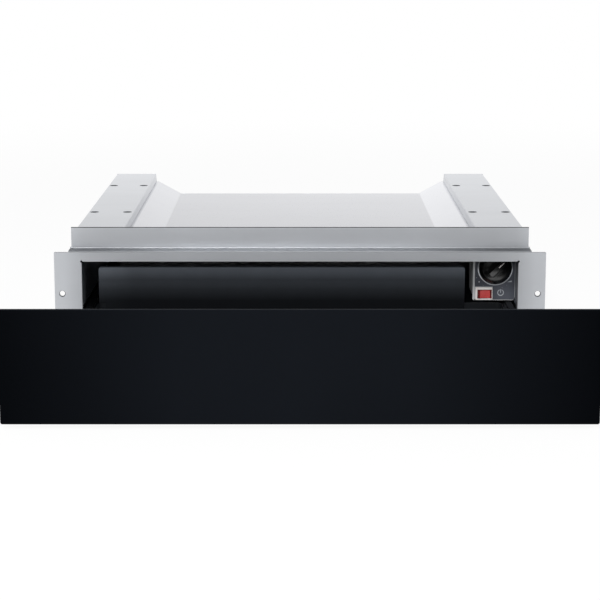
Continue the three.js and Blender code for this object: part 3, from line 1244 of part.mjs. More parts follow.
// ---------------------------------------------------------------- assembly
const model = new THREE.Group();
model.add(
  basePan(),
  sidePanel("left_side_panel", -1),
  sidePanel("right_side_panel", 1),
  topPanel(),
  frontFrame(),
  rearPanel(),
  cavityLiner(),
  baseInsulation(),
  rearPartition(),
);
model.add(fanScroll(), fanImpeller(), fanMotor(), fanBearing(), heatingElement(), elementClip());
model.add(safetyCutout(), terminalBlock(), cableGland(), latchBody(), latchPlunger());
model.add(controlBox(), controlLabel(), dialRing(), thermostat(), thermostatKnob());
model.add(powerSwitch(), powerRocker(), capillarySensor(), wiringLoom());

const middleMembers = new THREE.Group();
middleMembers.position.y = -OPEN_TRAVEL / 2;
const drawer = new THREE.Group();
drawer.position.y = -OPEN_TRAVEL;
for (const [word, side] of [["left", -1], ["right", 1]]) {
  model.add(slideBracket(`${word}_slide_bracket`, side), slideOuter(`${word}_slide_outer`, side));
  middleMembers.add(slideMiddle(`${word}_slide_middle`, side));
  drawer.add(slideInner(`${word}_slide_inner`, side), frontGusset(`${word}_front_gusset`, side));
}
drawer.add(frontGlass(), frontCarrier(), trayPan(), trayBackPanel(), trayMat(), latchStriker());
model.add(middleMembers, drawer);

export default model;
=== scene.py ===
"""Looks of a built-in warming drawer, drawn out, with a handleless black glass front.

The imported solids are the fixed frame. Sheet metal keeps its solids' shapes with softened
edges, and the pieces that meet the eye and the hand are modelled here in full. Sizes are
millimetres in the code and metres in the scene: X to the right, Y to the back, Z up.
"""

import logging
import math
from collections.abc import Callable, Iterable, Iterator
from contextlib import contextmanager
from dataclasses import dataclass, field
from enum import Enum

import bmesh
import bpy
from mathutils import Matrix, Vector


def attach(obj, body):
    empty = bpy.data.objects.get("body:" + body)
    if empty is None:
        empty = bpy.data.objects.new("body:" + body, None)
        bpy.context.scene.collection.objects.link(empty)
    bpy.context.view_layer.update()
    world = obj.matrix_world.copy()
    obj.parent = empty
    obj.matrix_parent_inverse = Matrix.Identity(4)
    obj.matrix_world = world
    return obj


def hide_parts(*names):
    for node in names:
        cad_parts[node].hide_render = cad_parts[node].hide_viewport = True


LOG = logging.getLogger("warming_drawer")
MM = 0.001
NEAR = 1e-5  # metres within which two places are the same
RAMP_SPAN = (0.3, 0.7)  # the part of a noise that its ramps use
PATCH_DETAIL, GRAIN_DETAIL = 3.0, 2.0  # finer layers in the two noises of a finish
GRAIN_STRENGTH = 0.5
COAT_ROUGHNESS = 0.06
RED_SCATTER = (0.002, 0.0006, 0.0004)  # metres that red, green and blue light go inside
BEYOND = 1.0  # millimetres by which a cutting tool reaches past the piece
TOUCH, FINE_TOUCH = 0.01, 0.002  # millimetres within which two levels are the same
LOOSE = 0.1  # millimetres, or a cosine, that still counts as none when edges are chosen
SHARP = 50.0  # degrees: flatter edges are left alone where only corners are rounded
SMOOTH = 32.0  # degrees: edges flatter than this are shaded smooth
FLAT = 0.5  # degrees: a solid's triangles that meet flatter than this become one face
PARALLEL, FACING = 0.999, 0.9  # cosines above which a direction follows an axis or faces it
HEAD_ROUND, CROSS_ARM, CROSS_WIDTH, CROSS_FLOOR = 0.45, 0.6, 0.13, 0.4  # a screw head's shares
DOME_ROUND, MANDREL_HOLE = 0.8, 0.3  # a rivet's shares of its height and radius
CONE_SHIFT = 0.35  # share of a countersink's depth by which its cone's middle lies inside

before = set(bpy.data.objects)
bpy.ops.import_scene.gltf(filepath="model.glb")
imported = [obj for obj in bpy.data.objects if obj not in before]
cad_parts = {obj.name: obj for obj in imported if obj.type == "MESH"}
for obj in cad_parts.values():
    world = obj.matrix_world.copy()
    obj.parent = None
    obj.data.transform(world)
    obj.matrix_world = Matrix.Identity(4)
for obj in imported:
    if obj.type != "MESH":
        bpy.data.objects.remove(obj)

Point = tuple[float, float, float]
Colour = tuple[float, float, float]
Paint = tuple[float, float, float, float]
Test = Callable[[Vector, Vector], bool]
Socket = bpy.types.NodeSocket


class Axis(Enum):
    """A direction of the frame, with the turn that brings Z onto it."""

    X = (0.0, math.pi / 2, 0.0)
    Y = (math.pi / 2, 0.0, 0.0)
    Z = (0.0, 0.0, 0.0)


class Pick(Enum):
    """What edit mode selects."""

    VERT = "VERT"
    EDGE = "EDGE"
    FACE = "FACE"


class Body(Enum):
    """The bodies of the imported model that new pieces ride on."""

    HOUSING = "housing"
    DRAWER = "drawer"
    SLIDE_LEFT = "slide_mid_left"
    SLIDE_RIGHT = "slide_mid_right"
    KNOB = "knob"
    ROCKER = "rocker"


def linear(value: float) -> float:
    """One display channel, 0 to 255, as linear light."""
    share = value / 255
    return share / 12.92 if share <= 0.04045 else ((share + 0.055) / 1.055) ** 2.4


def srgb(red: float, green: float, blue: float) -> Colour:
    """A display colour, 0 to 255 a channel, as linear light."""
    return (linear(red), linear(green), linear(blue))


# ---------------------------------------------------------------- finishes


@dataclass
class Graph:
    """A node tree, built one node at a time."""

    tree: bpy.types.NodeTree

    def fill(self, node: bpy.types.Node, inputs: dict[str | int, object]) -> bpy.types.Node:
        """Sets a node's inputs.

        Args:
            node: The node.
            inputs: For each input a plain value, or the socket that it is linked from.

        Returns:
            The same node.
        """
        for name, value in inputs.items():
            if isinstance(value, Socket):
                self.tree.links.new(value, node.inputs[name])
            else:
                node.inputs[name].default_value = value
        return node

    def add(
        self, kind: str, inputs: dict[str | int, object] | None = None, **settings: object
    ) -> bpy.types.Node:
        """Adds a node.

        Args:
            kind: Its type, without the word ShaderNode.
            inputs: Plain values or sockets for its inputs.
            **settings: The node's own settings.

        Returns:
            The new node.
        """
        node = self.tree.nodes.new(f"ShaderNode{kind}")
        for name, value in settings.items():
            setattr(node, name, value)
        return self.fill(node, inputs or {})

    def maths(self, operation: str, *values: Socket | float) -> Socket:
        """The outcome of a Math node."""
        return self.add("Math", dict(enumerate(values)), operation=operation).outputs["Value"]

    def noise(self, point: Socket, scale: float, detail: float) -> Socket:
        """A noise from 0 to 1, read at a point, with so many cells per metre."""
        return self.add("TexNoise", {"Vector": point, "Scale": scale, "Detail": detail}).outputs["Fac"]

    def ramp(self, share: Socket, stops: Iterable[tuple[float, Paint]]) -> Socket:
        """A colour ramp.

        Args:
            share: Where it is read, 0 to 1.
            stops: Its places in rising order, each with the colour there.

        Returns:
            The colour.
        """
        node = self.add("ValToRGB", {"Fac": share})
        points, wanted = node.color_ramp.elements, list(stops)
        while len(points) < len(wanted):
            points.new(0.5)
        for element, (position, colour) in zip(points, wanted):
            element.position, element.color = position, colour
        return node.outputs["Color"]


@dataclass(frozen=True)
class Tone:
    """Painted light and shade along one axis: shares of the colour, and of its reflections, that stand in
    for how light falls.

    Args:
        axis: X, Y or Z.
        stops: Places in millimetres with the share of the colour that is left there.
        mirrored: Whether both sides of zero are shaded alike.
    """

    axis: str
    stops: tuple[tuple[float, float], ...]
    mirrored: bool = False


@dataclass(frozen=True)
class Finish:
    """A surface finish, with its colour drift, its gloss drift and its grain.

    Args:
        name: The material's name.
        colour: Linear base colour.
        roughness: Middle roughness.
        metallic: 1 for bare metal.
        slot: The record's material slot for pieces with this finish; not used.
        drift: Share by which the colour varies, either way.
        drift_scale: Patches of colour per metre.
        stretch: How the grain is drawn out along the axes.
        gloss_drift: How far the roughness varies, either way.
        grain: Height of the grain, in millimetres.
        grain_scale: Grains per metre.
        coat: Share of a clear coat.
        specular: Specular level.
        sheen: Weight of the fibre sheen.
        subsurface: Weight of the light that scatters inside.
        tones: Painted light and shade along the object's axes.
    """

    name: str
    colour: Colour
    roughness: float
    metallic: float = 0.0
    slot: str = ""
    drift: float = 0.03
    drift_scale: float = 40.0
    stretch: Point = (1.0, 1.0, 1.0)
    gloss_drift: float = 0.03
    grain: float = 0.01
    grain_scale: float = 900.0
    coat: float = 0.0
    specular: float = 0.5
    sheen: float = 0.0
    subsurface: float = 0.0
    tones: tuple[Tone, ...] = ()

    def material(self) -> bpy.types.Material:
        """Builds the material once, and gives it back after that.

        Returns:
            The node material.
        """
        title = f"{self.name}_finish"
        made = bpy.data.materials.get(title)
        if made is not None:
            return made
        made = bpy.data.materials.new(title)
        made.use_nodes = True
        graph = Graph(made.node_tree)
        place = graph.add("TexCoord").outputs["Object"]
        point = graph.add("Mapping", {"Vector": place, "Scale": self.stretch}).outputs["Vector"]
        patches = graph.noise(point, self.drift_scale, PATCH_DETAIL)
        low, high = RAMP_SPAN
        colour = graph.ramp(
            patches, ((low, self._shade(1 - self.drift)), (high, self._shade(1 + self.drift)))
        )
        fine = graph.noise(point, self.grain_scale, GRAIN_DETAIL)
        gloss = graph.add(
            "MapRange",
            {
                "Value": fine,
                "From Min": low,
                "From Max": high,
                "To Min": max(0.0, self.roughness - self.gloss_drift),
                "To Max": min(1.0, self.roughness + self.gloss_drift),
            },
        )
        surface = {
            "Metallic": self.metallic,
            "Roughness": gloss.outputs["Result"],
            "Coat Weight": self.coat,
            "Coat Roughness": COAT_ROUGHNESS,
            "Specular IOR Level": self.specular,
            "Sheen Weight": self.sheen,
            "Subsurface Weight": self.subsurface,
            "Subsurface Radius": RED_SCATTER,
            "Subsurface Scale": 1.0,
        }
        # Painted shade on reflections: the tones darken the specular tint as they darken the colour.
        tint = None
        for tone in self.tones:
            colour = self._toned(graph, place, colour, tone)
            tint = self._toned(graph, place, tint, tone)
        if tint is not None:
            surface["Specular Tint"] = tint
        if self.grain > 0:
            relief = {"Strength": GRAIN_STRENGTH, "Distance": self.grain * MM, "Height": fine}
            surface["Normal"] = graph.add("Bump", relief).outputs["Normal"]
        graph.fill(graph.tree.nodes["Principled BSDF"], {"Base Color": colour, **surface})
        return made

    def _shade(self, share: float) -> Paint:
        """The base colour, lighter or darker by a share."""
        red, green, blue = (min(1.0, channel * share) for channel in self.colour)
        return (red, green, blue, 1.0)

    @staticmethod
    def _toned(graph: Graph, place: Socket, colour: Socket | None, tone: Tone) -> Socket:
        """Multiplies a colour by a tone's painted shade.

        Args:
            graph: The material's nodes.
            place: Object coordinates.
            colour: The colour so far, or none for plain white.
            tone: What is laid over it.

        Returns:
            The toned colour.
        """
        level = graph.add("SeparateXYZ", {"Vector": place}).outputs[tone.axis]
        if tone.mirrored:
            level = graph.maths("ABSOLUTE", level)
        first, last = tone.stops[0][0], tone.stops[-1][0]
        span = {"Value": level, "From Min": first * MM, "From Max": last * MM}
        share = graph.add("MapRange", span).outputs["Result"]
        stops = (((at - first) / (last - first), (left, left, left, 1.0)) for at, left in tone.stops)
        shade = graph.ramp(share, stops)
        if colour is None:
            return shade
        sides = {"Factor": 1.0, "A": colour, "B": shade}
        mix = graph.add("Mix", sides, data_type="RGBA", blend_type="MULTIPLY")
        return mix.outputs["Result"]


# Painted shade: the galvanised sheet is darker towards the front (0.9 at Y -240), standing in for a
# reflection that fades towards the front.
GALVANISED = Finish(
    "galvanised_sheet", srgb(214, 216, 220), 0.36, 1.0, "galvanised_sheet",
    drift=0.02, drift_scale=25, stretch=(0.4, 1.0, 1.0), grain=0.004, grain_scale=1400,
    tones=(Tone("Y", ((-240.0, 0.9), (260.0, 1.0))),),
)
# Painted light and shade: a dark band along the ledge fold at Z 107 to 108.4 stands in for the shade in
# the fold, the fascia lightens a little upwards, and the upright faces are lightest at the middle and
# darker towards the ends as reflected light falls. A dark line runs along the top edge.
FRAME_SHEET = Finish(
    "frame_sheet", srgb(232, 235, 240), 0.46, 1.0, "galvanised_sheet",
    drift=0.02, drift_scale=25, stretch=(0.3, 1.0, 1.0), grain=0.004, grain_scale=1400,
    tones=(
        Tone("Z", ((100.0, 0.86), (105.4, 0.86), (106.2, 0.78), (107.0, 0.43), (108.4, 0.43),
                   (109.6, 0.8), (111.5, 0.85), (115.0, 0.85), (127.0, 0.88), (131.5, 0.9),
                   (133.1, 0.95), (133.4, 0.12), (134.0, 0.12))),
        Tone("X", ((-297.0, 0.81), (-284.0, 0.81), (-262.0, 0.71), (-235.0, 0.72), (-140.0, 0.94),
                   (0.0, 1.0), (140.0, 0.95), (235.0, 0.71), (262.0, 0.7), (284.0, 0.81),
                   (297.0, 0.81))),
    ),
)
# Painted light and shade: the top sheet is darker towards the front, and its right slope is lighter than
# the left slope and the recessed middle, as light from the left falls.
BRIGHT = Finish(
    "bright_sheet", srgb(236, 237, 241), 0.30, 1.0, "bright_sheet",
    drift=0.015, drift_scale=18, stretch=(0.3, 1.0, 1.0), grain=0.003, grain_scale=1400,
    tones=(
        Tone("Y", ((-240.0, 0.9), (260.0, 1.0))),
        Tone("X", ((-212.0, 0.94), (-176.4, 0.94), (-175.6, 0.87), (0.0, 0.89), (175.6, 0.9),
                   (176.4, 1.0), (212.0, 1.0))),
    ),
)
BLACK_ENAMEL = Finish(
    "black_enamel", srgb(28, 29, 31), 0.42, 0.0, "black_sheet",
    drift=0.08, drift_scale=30, grain=0.02, grain_scale=500,
)
# Painted light: the liner is near black (0.07 of this colour) except for its side walls near X ±262, which
# are painted light grey as walls lit through the opening; it also grows darker towards the opening.
LINER_ENAMEL = Finish(
    "liner_enamel", srgb(186, 193, 204), 0.4, 0.0, "black_sheet",
    drift=0.08, drift_scale=30, grain=0.02, grain_scale=500,
    tones=(
        Tone("X", ((0.0, 0.07), (256.0, 0.07), (262.0, 1.0), (268.0, 1.0)), mirrored=True),
        Tone("Y", ((-215.0, 0.31), (-202.0, 0.34), (-165.0, 0.9), (-120.0, 1.0))),
    ),
)
# Painted shade: the tray pan is darker (0.4) behind Y -226, inside the housing, standing in for the
# housing's shadow.
TRAY_COAT = Finish(
    "tray_coat", srgb(35, 38, 42), 0.42, 0.1, "tray_coat",
    drift=0.06, drift_scale=120, grain=0.015, grain_scale=1100,
    tones=(Tone("Y", ((-260.0, 1.0), (-226.0, 0.4), (-200.0, 0.4))),),
)
# Painted light and shade: the tray's back panel is near black at its foot and rises to this mid grey at
# its top edge, and is lighter at its left end, standing in for light from above and for the lit mat that
# it reflects.
BACK_COAT = Finish(
    "back_coat", srgb(110, 116, 125), 0.4, 0.1, "tray_coat",
    drift=0.04, drift_scale=60, grain=0.01, grain_scale=1100,
    tones=(
        Tone("Z", ((12.0, 0.05), (38.0, 0.055), (52.0, 0.16), (64.0, 0.4), (76.0, 0.95), (80.0, 1.0))),
        Tone("X", ((-248.0, 1.0), (-236.0, 0.9), (-205.0, 0.62), (203.0, 0.68))),
    ),
)
# Painted reflection: the glass is lightest at the middle and falls to 0.3 at its ends, standing in for a
# soft lamp's broad reflection.
BLACK_GLASS = Finish(
    "black_glass", srgb(9, 12, 17), 0.10, 0.0, "black_glass",
    drift=0.05, drift_scale=8, gloss_drift=0.01, grain=0.0, specular=0.05,
    tones=(Tone("X", ((0.0, 1.0), (120.0, 0.9), (298.0, 0.3)), mirrored=True),),
)
GROUND_EDGE = Finish(
    "ground_edge", srgb(15, 18, 23), 0.6, 0.0, "black_glass",
    drift=0.08, drift_scale=60, grain=0.01, grain_scale=2400, specular=0.03,
)
MAT_RUBBER = Finish(
    "mat_rubber", srgb(42, 44, 46), 0.8, 0.0, "mat_rubber",
    drift=0.08, drift_scale=90, grain=0.05, grain_scale=1500,
)
# Painted shade: the front 1.4 mm of the case and of its lip is darker (0.55) than the rest.
PALE_CASE = Finish(
    "pale_case", srgb(232, 234, 236), 0.5, 0.0, "pale_case",
    drift=0.02, drift_scale=60, grain=0.01, grain_scale=1800,
    tones=(Tone("Y", ((-204.0, 0.55), (-202.6, 0.55), (-202.0, 1.0), (-130.0, 1.0))),),
)
WHITE_BEZEL = Finish(
    "white_bezel", srgb(218, 211, 209), 0.4, 0.0, "pale_case",
    drift=0.02, drift_scale=80, grain=0.006, grain_scale=1800,
)
# Painted shade: the label is darker towards its left edge and its right end and lightest near X 258,
# standing in for the shade that falls on it.
LABEL_FILM = Finish(
    "label_film", srgb(84, 87, 96), 0.5, 0.0, "label_film",
    drift=0.03, drift_scale=200, grain=0.008, grain_scale=2600,
    tones=(Tone("X", ((216.0, 0.52), (228.0, 0.58), (240.0, 0.66), (248.0, 0.84), (258.0, 0.88),
                      (264.0, 0.7))),),
)
# Painted shade: the print is darker above Z 79, standing in for the shade under the frame, and somewhat
# darker below Z 63; it is lightest between Z 68 and 75.
PRINT_INK = Finish(
    "print_ink", srgb(212, 216, 222), 0.55, 0.0, "pale_case",
    drift=0.02, drift_scale=300, grain=0.004, grain_scale=2600,
    tones=(Tone("Z", ((38.0, 0.62), (52.0, 0.62), (54.5, 0.5), (58.0, 0.6), (63.0, 0.8),
                      (68.0, 1.0), (75.0, 1.0), (79.0, 0.35), (100.0, 0.35))),),
)
BLACK_PLASTIC = Finish(
    "black_plastic", srgb(17, 18, 19), 0.38, 0.0, "black_plastic",
    drift=0.06, drift_scale=120, grain=0.02, grain_scale=1600,
)
# Painted highlight: colour and reflections are full only where X 233 to 246 meets Z 64.5 to 74, on the
# grip's lower crest and the dish below it, and much lower elsewhere, standing in for a lamp's reflections;
# they turn with the knob.
KNOB_PLASTIC = Finish(
    "knob_plastic", srgb(5, 6, 7), 0.22, 0.0, "black_plastic",
    drift=0.05, drift_scale=120, gloss_drift=0.03, grain=0.004, grain_scale=1600, specular=1.0,
    tones=(
        Tone("X", ((220.0, 0.3), (229.0, 0.45), (233.0, 1.0), (246.0, 1.0), (251.0, 0.5), (262.0, 0.35))),
        Tone("Z", ((57.0, 0.3), (62.0, 0.6), (64.5, 1.0), (74.0, 1.0), (77.5, 0.3), (98.0, 0.25))),
    ),
)
# Painted shade: the rocker's rim is darkened, over about 3 mm at its left where it sinks into the pocket
# and under 1 mm at its other sides.
RED_PLASTIC = Finish(
    "red_plastic", srgb(184, 70, 68), 0.26, 0.0, "red_plastic",
    drift=0.05, drift_scale=260, grain=0.004, grain_scale=2000, coat=0.3, subsurface=0.1,
    tones=(
        Tone("X", ((219.6, 0.26), (222.4, 0.28), (222.9, 1.0), (235.1, 1.0), (235.5, 0.3), (236.5, 0.26))),
        Tone("Z", ((39.2, 0.45), (39.7, 0.6), (40.1, 1.0), (49.1, 1.0), (49.4, 0.3), (50.0, 0.3))),
    ),
)
# Painted shade: the switch pocket's walls, which belong to the white bezel, are painted dark red, standing
# in for the shade round the red rocker.
POCKET_PAINTED_SHADE = Finish(
    "pocket_painted_shade", srgb(100, 22, 26), 0.5, 0.0, "red_plastic",
    drift=0.03, drift_scale=260, grain=0.004, grain_scale=2000,
)
CERAMIC = Finish(
    "ceramic", srgb(226, 221, 208), 0.6, 0.0, "ceramic",
    drift=0.03, drift_scale=200, grain=0.02, grain_scale=1600,
)
# Painted shade: the countersinks of the rail and ear holes are dark grey, standing in for the shade in the
# holes.
HOLE_RIM_SHADE = Finish(
    "hole_rim_painted_shade", srgb(74, 77, 81), 0.5, 0.7, "galvanised_sheet",
    drift=0.1, drift_scale=400, grain=0.01, grain_scale=2400,
)
ZINC = Finish(
    "zinc_plated", srgb(196, 200, 204), 0.3, 1.0, "zinc_plated",
    drift=0.05, drift_scale=70, grain=0.004, grain_scale=1200,
)
SLIDE_STEEL = Finish(
    "slide_steel", srgb(34, 35, 38), 0.38, 0.9, "zinc_plated",
    drift=0.06, drift_scale=70, stretch=(1.0, 0.2, 1.0), grain=0.004, grain_scale=1200,
)
FAN_ALLOY = Finish(
    "fan_alloy", srgb(150, 154, 158), 0.4, 1.0, "fan_alloy",
    drift=0.05, drift_scale=90, grain=0.006, grain_scale=1200,
)
MOTOR_STEEL = Finish(
    "motor_steel", srgb(96, 98, 102), 0.45, 0.9, "motor_steel",
    drift=0.1, drift_scale=400, stretch=(6.0, 1.0, 1.0), grain=0.05, grain_scale=700,
)
ELEMENT_SHEATH = Finish(
    "element_sheath", srgb(92, 84, 80), 0.5, 0.85, "element_sheath",
    drift=0.22, drift_scale=45, grain=0.01, grain_scale=900,
)
WOOL_FACING = Finish(
    "wool_facing", srgb(58, 64, 72), 0.8, 0.0, "black_sheet",
    drift=0.1, drift_scale=80, grain=0.05, grain_scale=900, specular=0.3,
)
GLASS_WOOL = Finish(
    "glass_wool", srgb(216, 205, 160), 0.95, 0.0, "glass_wool",
    drift=0.14, drift_scale=180, grain=0.6, grain_scale=420, sheen=0.3,
)


# ---------------------------------------------------------------- modelling steps


def clear_selection() -> None:
    """Deselects everything."""
    bpy.ops.object.select_all(action="DESELECT")


def focus(piece: bpy.types.Object) -> None:
    """Selects one piece alone and makes it active.

    Args:
        piece: The piece.
    """
    clear_selection()
    piece.select_set(True)
    bpy.context.view_layer.objects.active = piece


@contextmanager
def editing(piece: bpy.types.Object, kind: Pick = Pick.FACE) -> Iterator[None]:
    """Edit mode on one piece, with nothing selected at first.

    Args:
        piece: The piece to edit.
        kind: What is selected in it.

    Yields:
        Nothing.
    """
    focus(piece)
    bpy.ops.object.mode_set(mode="EDIT")
    bpy.ops.mesh.select_mode(type=kind.value)
    bpy.ops.mesh.select_all(action="DESELECT")
    yield
    bpy.ops.object.mode_set(mode="OBJECT")


def pick(kind: Pick, test: Test) -> int:
    """Selects the faces, edges or points of the edited piece that pass a test.

    Args:
        kind: What to select.
        test: Told the middle, and the face's normal, the edge's direction or the point's
            normal; true for what is selected.

    Returns:
        How many passed.
    """
    data = bpy.context.edit_object.data
    mesh = bmesh.from_edit_mesh(data)
    bpy.ops.mesh.select_mode(type=kind.value)
    bpy.ops.mesh.select_all(action="DESELECT")
    found = 0
    if kind is Pick.FACE:
        rows = [(f, f.calc_center_median(), f.normal) for f in mesh.faces]
    elif kind is Pick.EDGE:
        rows = [
            (e, (e.verts[0].co + e.verts[1].co) / 2, (e.verts[1].co - e.verts[0].co).normalized())
            for e in mesh.edges
        ]
    else:
        rows = [(v, v.co, v.normal) for v in mesh.verts]
    for element, middle, direction in rows:
        if test(middle / MM, direction):
            element.select_set(True)
            found += 1
    mesh.select_flush_mode()
    bmesh.update_edit_mesh(data)
    return found


def along(axis: Axis) -> Test:
    """True for an edge that runs along an axis."""
    index = list(Axis).index(axis)
    return lambda _middle, direction: abs(direction[index]) > PARALLEL


def round_end(level: float) -> Test:
    """True for the edges round the end, at a level in millimetres, of a drum along Y."""
    return lambda middle, direction: abs(middle.y - level) < LOOSE and abs(direction.y) < LOOSE


def settle(piece: bpy.types.Object) -> bpy.types.Object:
    """Puts a piece's place, turn and size into its mesh.

    Args:
        piece: The piece.

    Returns:
        The same piece.
    """
    focus(piece)
    bpy.ops.object.transform_apply(location=True, rotation=True, scale=True)
    return piece


def slab(name: str, low: Point, high: Point) -> bpy.types.Object:
    """A cube primitive brought to two corners.

    Args:
        name: The piece's name.
        low: Lowest corner, in millimetres.
        high: Highest corner, in millimetres.

    Returns:
        The new piece.
    """
    clear_selection()
    middle = [(a + b) / 2 * MM for a, b in zip(low, high)]
    bpy.ops.mesh.primitive_cube_add(size=1, location=middle)
    piece = bpy.context.object
    piece.name = name
    piece.scale = [(b - a) * MM for a, b in zip(low, high)]
    return settle(piece)


def drum(
    name: str, axis: Axis, middle: Point, radius: float, length: float, sides: int = 48
) -> bpy.types.Object:
    """A cylinder primitive along an axis.

    Args:
        name: The piece's name.
        axis: Its axis.
        middle: Its middle, in millimetres.
        radius: In millimetres.
        length: In millimetres.
        sides: Facets round it.

    Returns:
        The new piece.
    """
    clear_selection()
    bpy.ops.mesh.primitive_cylinder_add(
        vertices=sides,
        radius=radius * MM,
        depth=length * MM,
        location=[value * MM for value in middle],
        rotation=axis.value,
    )
    piece = bpy.context.object
    piece.name = name
    return settle(piece)


def modified(piece: bpy.types.Object, kind: str, **settings: object) -> bpy.types.Object:
    """Adds a modifier and applies it.

    Args:
        piece: The piece to change.
        kind: The modifier's type.
        **settings: The modifier's own settings.

    Returns:
        The same piece.
    """
    focus(piece)
    step = piece.modifiers.new(kind.lower(), kind)
    for setting, value in settings.items():
        setattr(step, setting, value)
    bpy.ops.object.modifier_apply(modifier=step.name)
    return piece


def combined(
    piece: bpy.types.Object, tool: bpy.types.Object, operation: str = "DIFFERENCE"
) -> bpy.types.Object:
    """Cuts a piece with a tool, joins them, or keeps what they share; the tool is used up.

    Args:
        piece: The piece to change.
        tool: The other piece.
        operation: DIFFERENCE, UNION or INTERSECT.

    Returns:
        The changed piece.
    """
    modified(piece, "BOOLEAN", object=tool, operation=operation, solver="EXACT")
    data = tool.data
    bpy.data.objects.remove(tool)
    bpy.data.meshes.remove(data)
    return piece


def softened(
    piece: bpy.types.Object, width: float, segments: int = 3, angle: float = 40.0
) -> bpy.types.Object:
    """Rounds a piece's sharp edges.

    Args:
        piece: The piece to change.
        width: Width of the rounding, in millimetres.
        segments: Steps across it.
        angle: Edges sharper than this, in degrees, are rounded.

    Returns:
        The same piece.
    """
    return modified(
        piece,
        "BEVEL",
        width=width * MM,
        segments=segments,
        limit_method="ANGLE",
        angle_limit=math.radians(angle),
    )


def rounded(
    piece: bpy.types.Object, test: Test, width: float, segments: int = 6
) -> bpy.types.Object:
    """Bevels chosen edges.

    Args:
        piece: The piece to change.
        test: Chooses its edges.
        width: In millimetres.
        segments: Steps across the bevel.

    Returns:
        The same piece.
    """
    with editing(piece, Pick.EDGE):
        if pick(Pick.EDGE, test):
            bpy.ops.mesh.bevel(offset=width * MM, segments=segments, affect="EDGES")
    return piece


def merged(name: str, pieces: Iterable[bpy.types.Object]) -> bpy.types.Object:
    """Joins pieces into one object.

    Args:
        name: Its name.
        pieces: The pieces.

    Returns:
        The joined piece.
    """
    members = list(pieces)
    clear_selection()
    for member in members:
        member.select_set(True)
    bpy.context.view_layer.objects.active = members[0]
    if len(members) > 1:
        bpy.ops.object.join()
    members[0].name = name
    return members[0]


def copied(name: str, pattern: bpy.types.Object, places: Iterable[Point]) -> bpy.types.Object:
    """Copies a pattern piece, modelled round the origin, to several places, as one object.

    Args:
        name: The new object's name.
        pattern: The pattern, which is used up.
        places: Millimetres.

    Returns:
        The object that holds all copies.
    """
    copies = []
    for place in places:
        copy = pattern.copy()
        copy.data = pattern.data.copy()
        bpy.context.scene.collection.objects.link(copy)
        copy.location = [value * MM for value in place]
        copies.append(settle(copy))
    data = pattern.data
    bpy.data.objects.remove(pattern)
    bpy.data.meshes.remove(data)
    return merged(name, copies)


def softened_node(node: str, name: str, width: float = 0.25, segments: int = 2) -> bpy.types.Object:
    """A solid's mesh as a new piece, its triangles merged and its sharp edges rounded.

    Args:
        node: The solid's name.
        name: The new piece's name.
        width: Width of the rounding, in millimetres.
        segments: Steps across it.

    Returns:
        The new piece.
    """
    piece = bpy.data.objects.new(name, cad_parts[node].data.copy())
    bpy.context.scene.collection.objects.link(piece)
    with editing(piece, Pick.VERT):
        bpy.ops.mesh.select_all(action="SELECT")
        bpy.ops.mesh.remove_doubles(threshold=NEAR)
        bpy.ops.mesh.dissolve_limited(angle_limit=math.radians(FLAT))
    return softened(piece, width, segments)


def finished(
    piece: bpy.types.Object,
    finish: Finish,
    body: Body,
    replaces: tuple[str, ...] = (),
) -> bpy.types.Object:
    """Turns a piece's faces outwards, dresses it and hands it to its body.

    Args:
        piece: The piece.
        finish: Its finish.
        body: The body that it rides on.
        replaces: Solids that it stands for.

    Returns:
        The same piece.
    """
    settle(piece)
    with editing(piece):
        bpy.ops.mesh.select_all(action="SELECT")
        bpy.ops.mesh.normals_make_consistent(inside=False)
    focus(piece)
    bpy.ops.object.shade_smooth_by_angle(angle=math.radians(SMOOTH))
    modified(piece, "WEIGHTED_NORMAL", keep_sharp=True, weight=100)
    piece.data.materials.clear()
    piece.data.materials.append(finish.material())
    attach(piece, body.value)
    if replaces:
        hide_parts(*replaces)
    LOG.info("%s: %d faces, on %s", piece.name, len(piece.data.polygons), body.value)
    return piece


def dressed(node: str, finish: Finish) -> None:
    """Gives a carried-over solid its finish.

    Args:
        node: The solid's name.
        finish: Its finish.
    """
    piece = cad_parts[node]
    material = finish.material()
    if not piece.material_slots:
        piece.data.materials.append(material)
    for slot in piece.material_slots:
        slot.material = material
    LOG.info("%s: dressed in %s", node, finish.name)


def screw_head(radius: float, height: float) -> bpy.types.Object:
    """A pan-head screw with a cross recess, facing -Y, its seat at the origin.

    Args:
        radius: In millimetres.
        height: In millimetres.

    Returns:
        The head.
    """
    head = drum("screw_head", Axis.Y, (0, -height / 2, 0), radius, height, 28)
    rounded(head, round_end(-height), height * HEAD_ROUND, 4)
    arm, wing = radius * CROSS_ARM, radius * CROSS_WIDTH
    outside, floor = -height - BEYOND, -height * CROSS_FLOOR
    for x, z in ((arm, wing), (wing, arm)):
        combined(head, slab("recess", (-x, outside, -z), (x, floor, z)))
    return head


def pop_rivet(radius: float, height: float) -> bpy.types.Object:
    """A pop rivet's dome with its mandrel hole, facing -Y, its seat at the origin.

    Args:
        radius: In millimetres.
        height: In millimetres.

    Returns:
        The dome.
    """
    dome = drum("pop_rivet", Axis.Y, (0, -height / 2, 0), radius, height, 24)
    rounded(dome, round_end(-height), height * DOME_ROUND, 4)
    combined(dome, drum("mandrel", Axis.Y, (0, -height, 0), radius * MANDREL_HOLE, height, 16))
    return dome


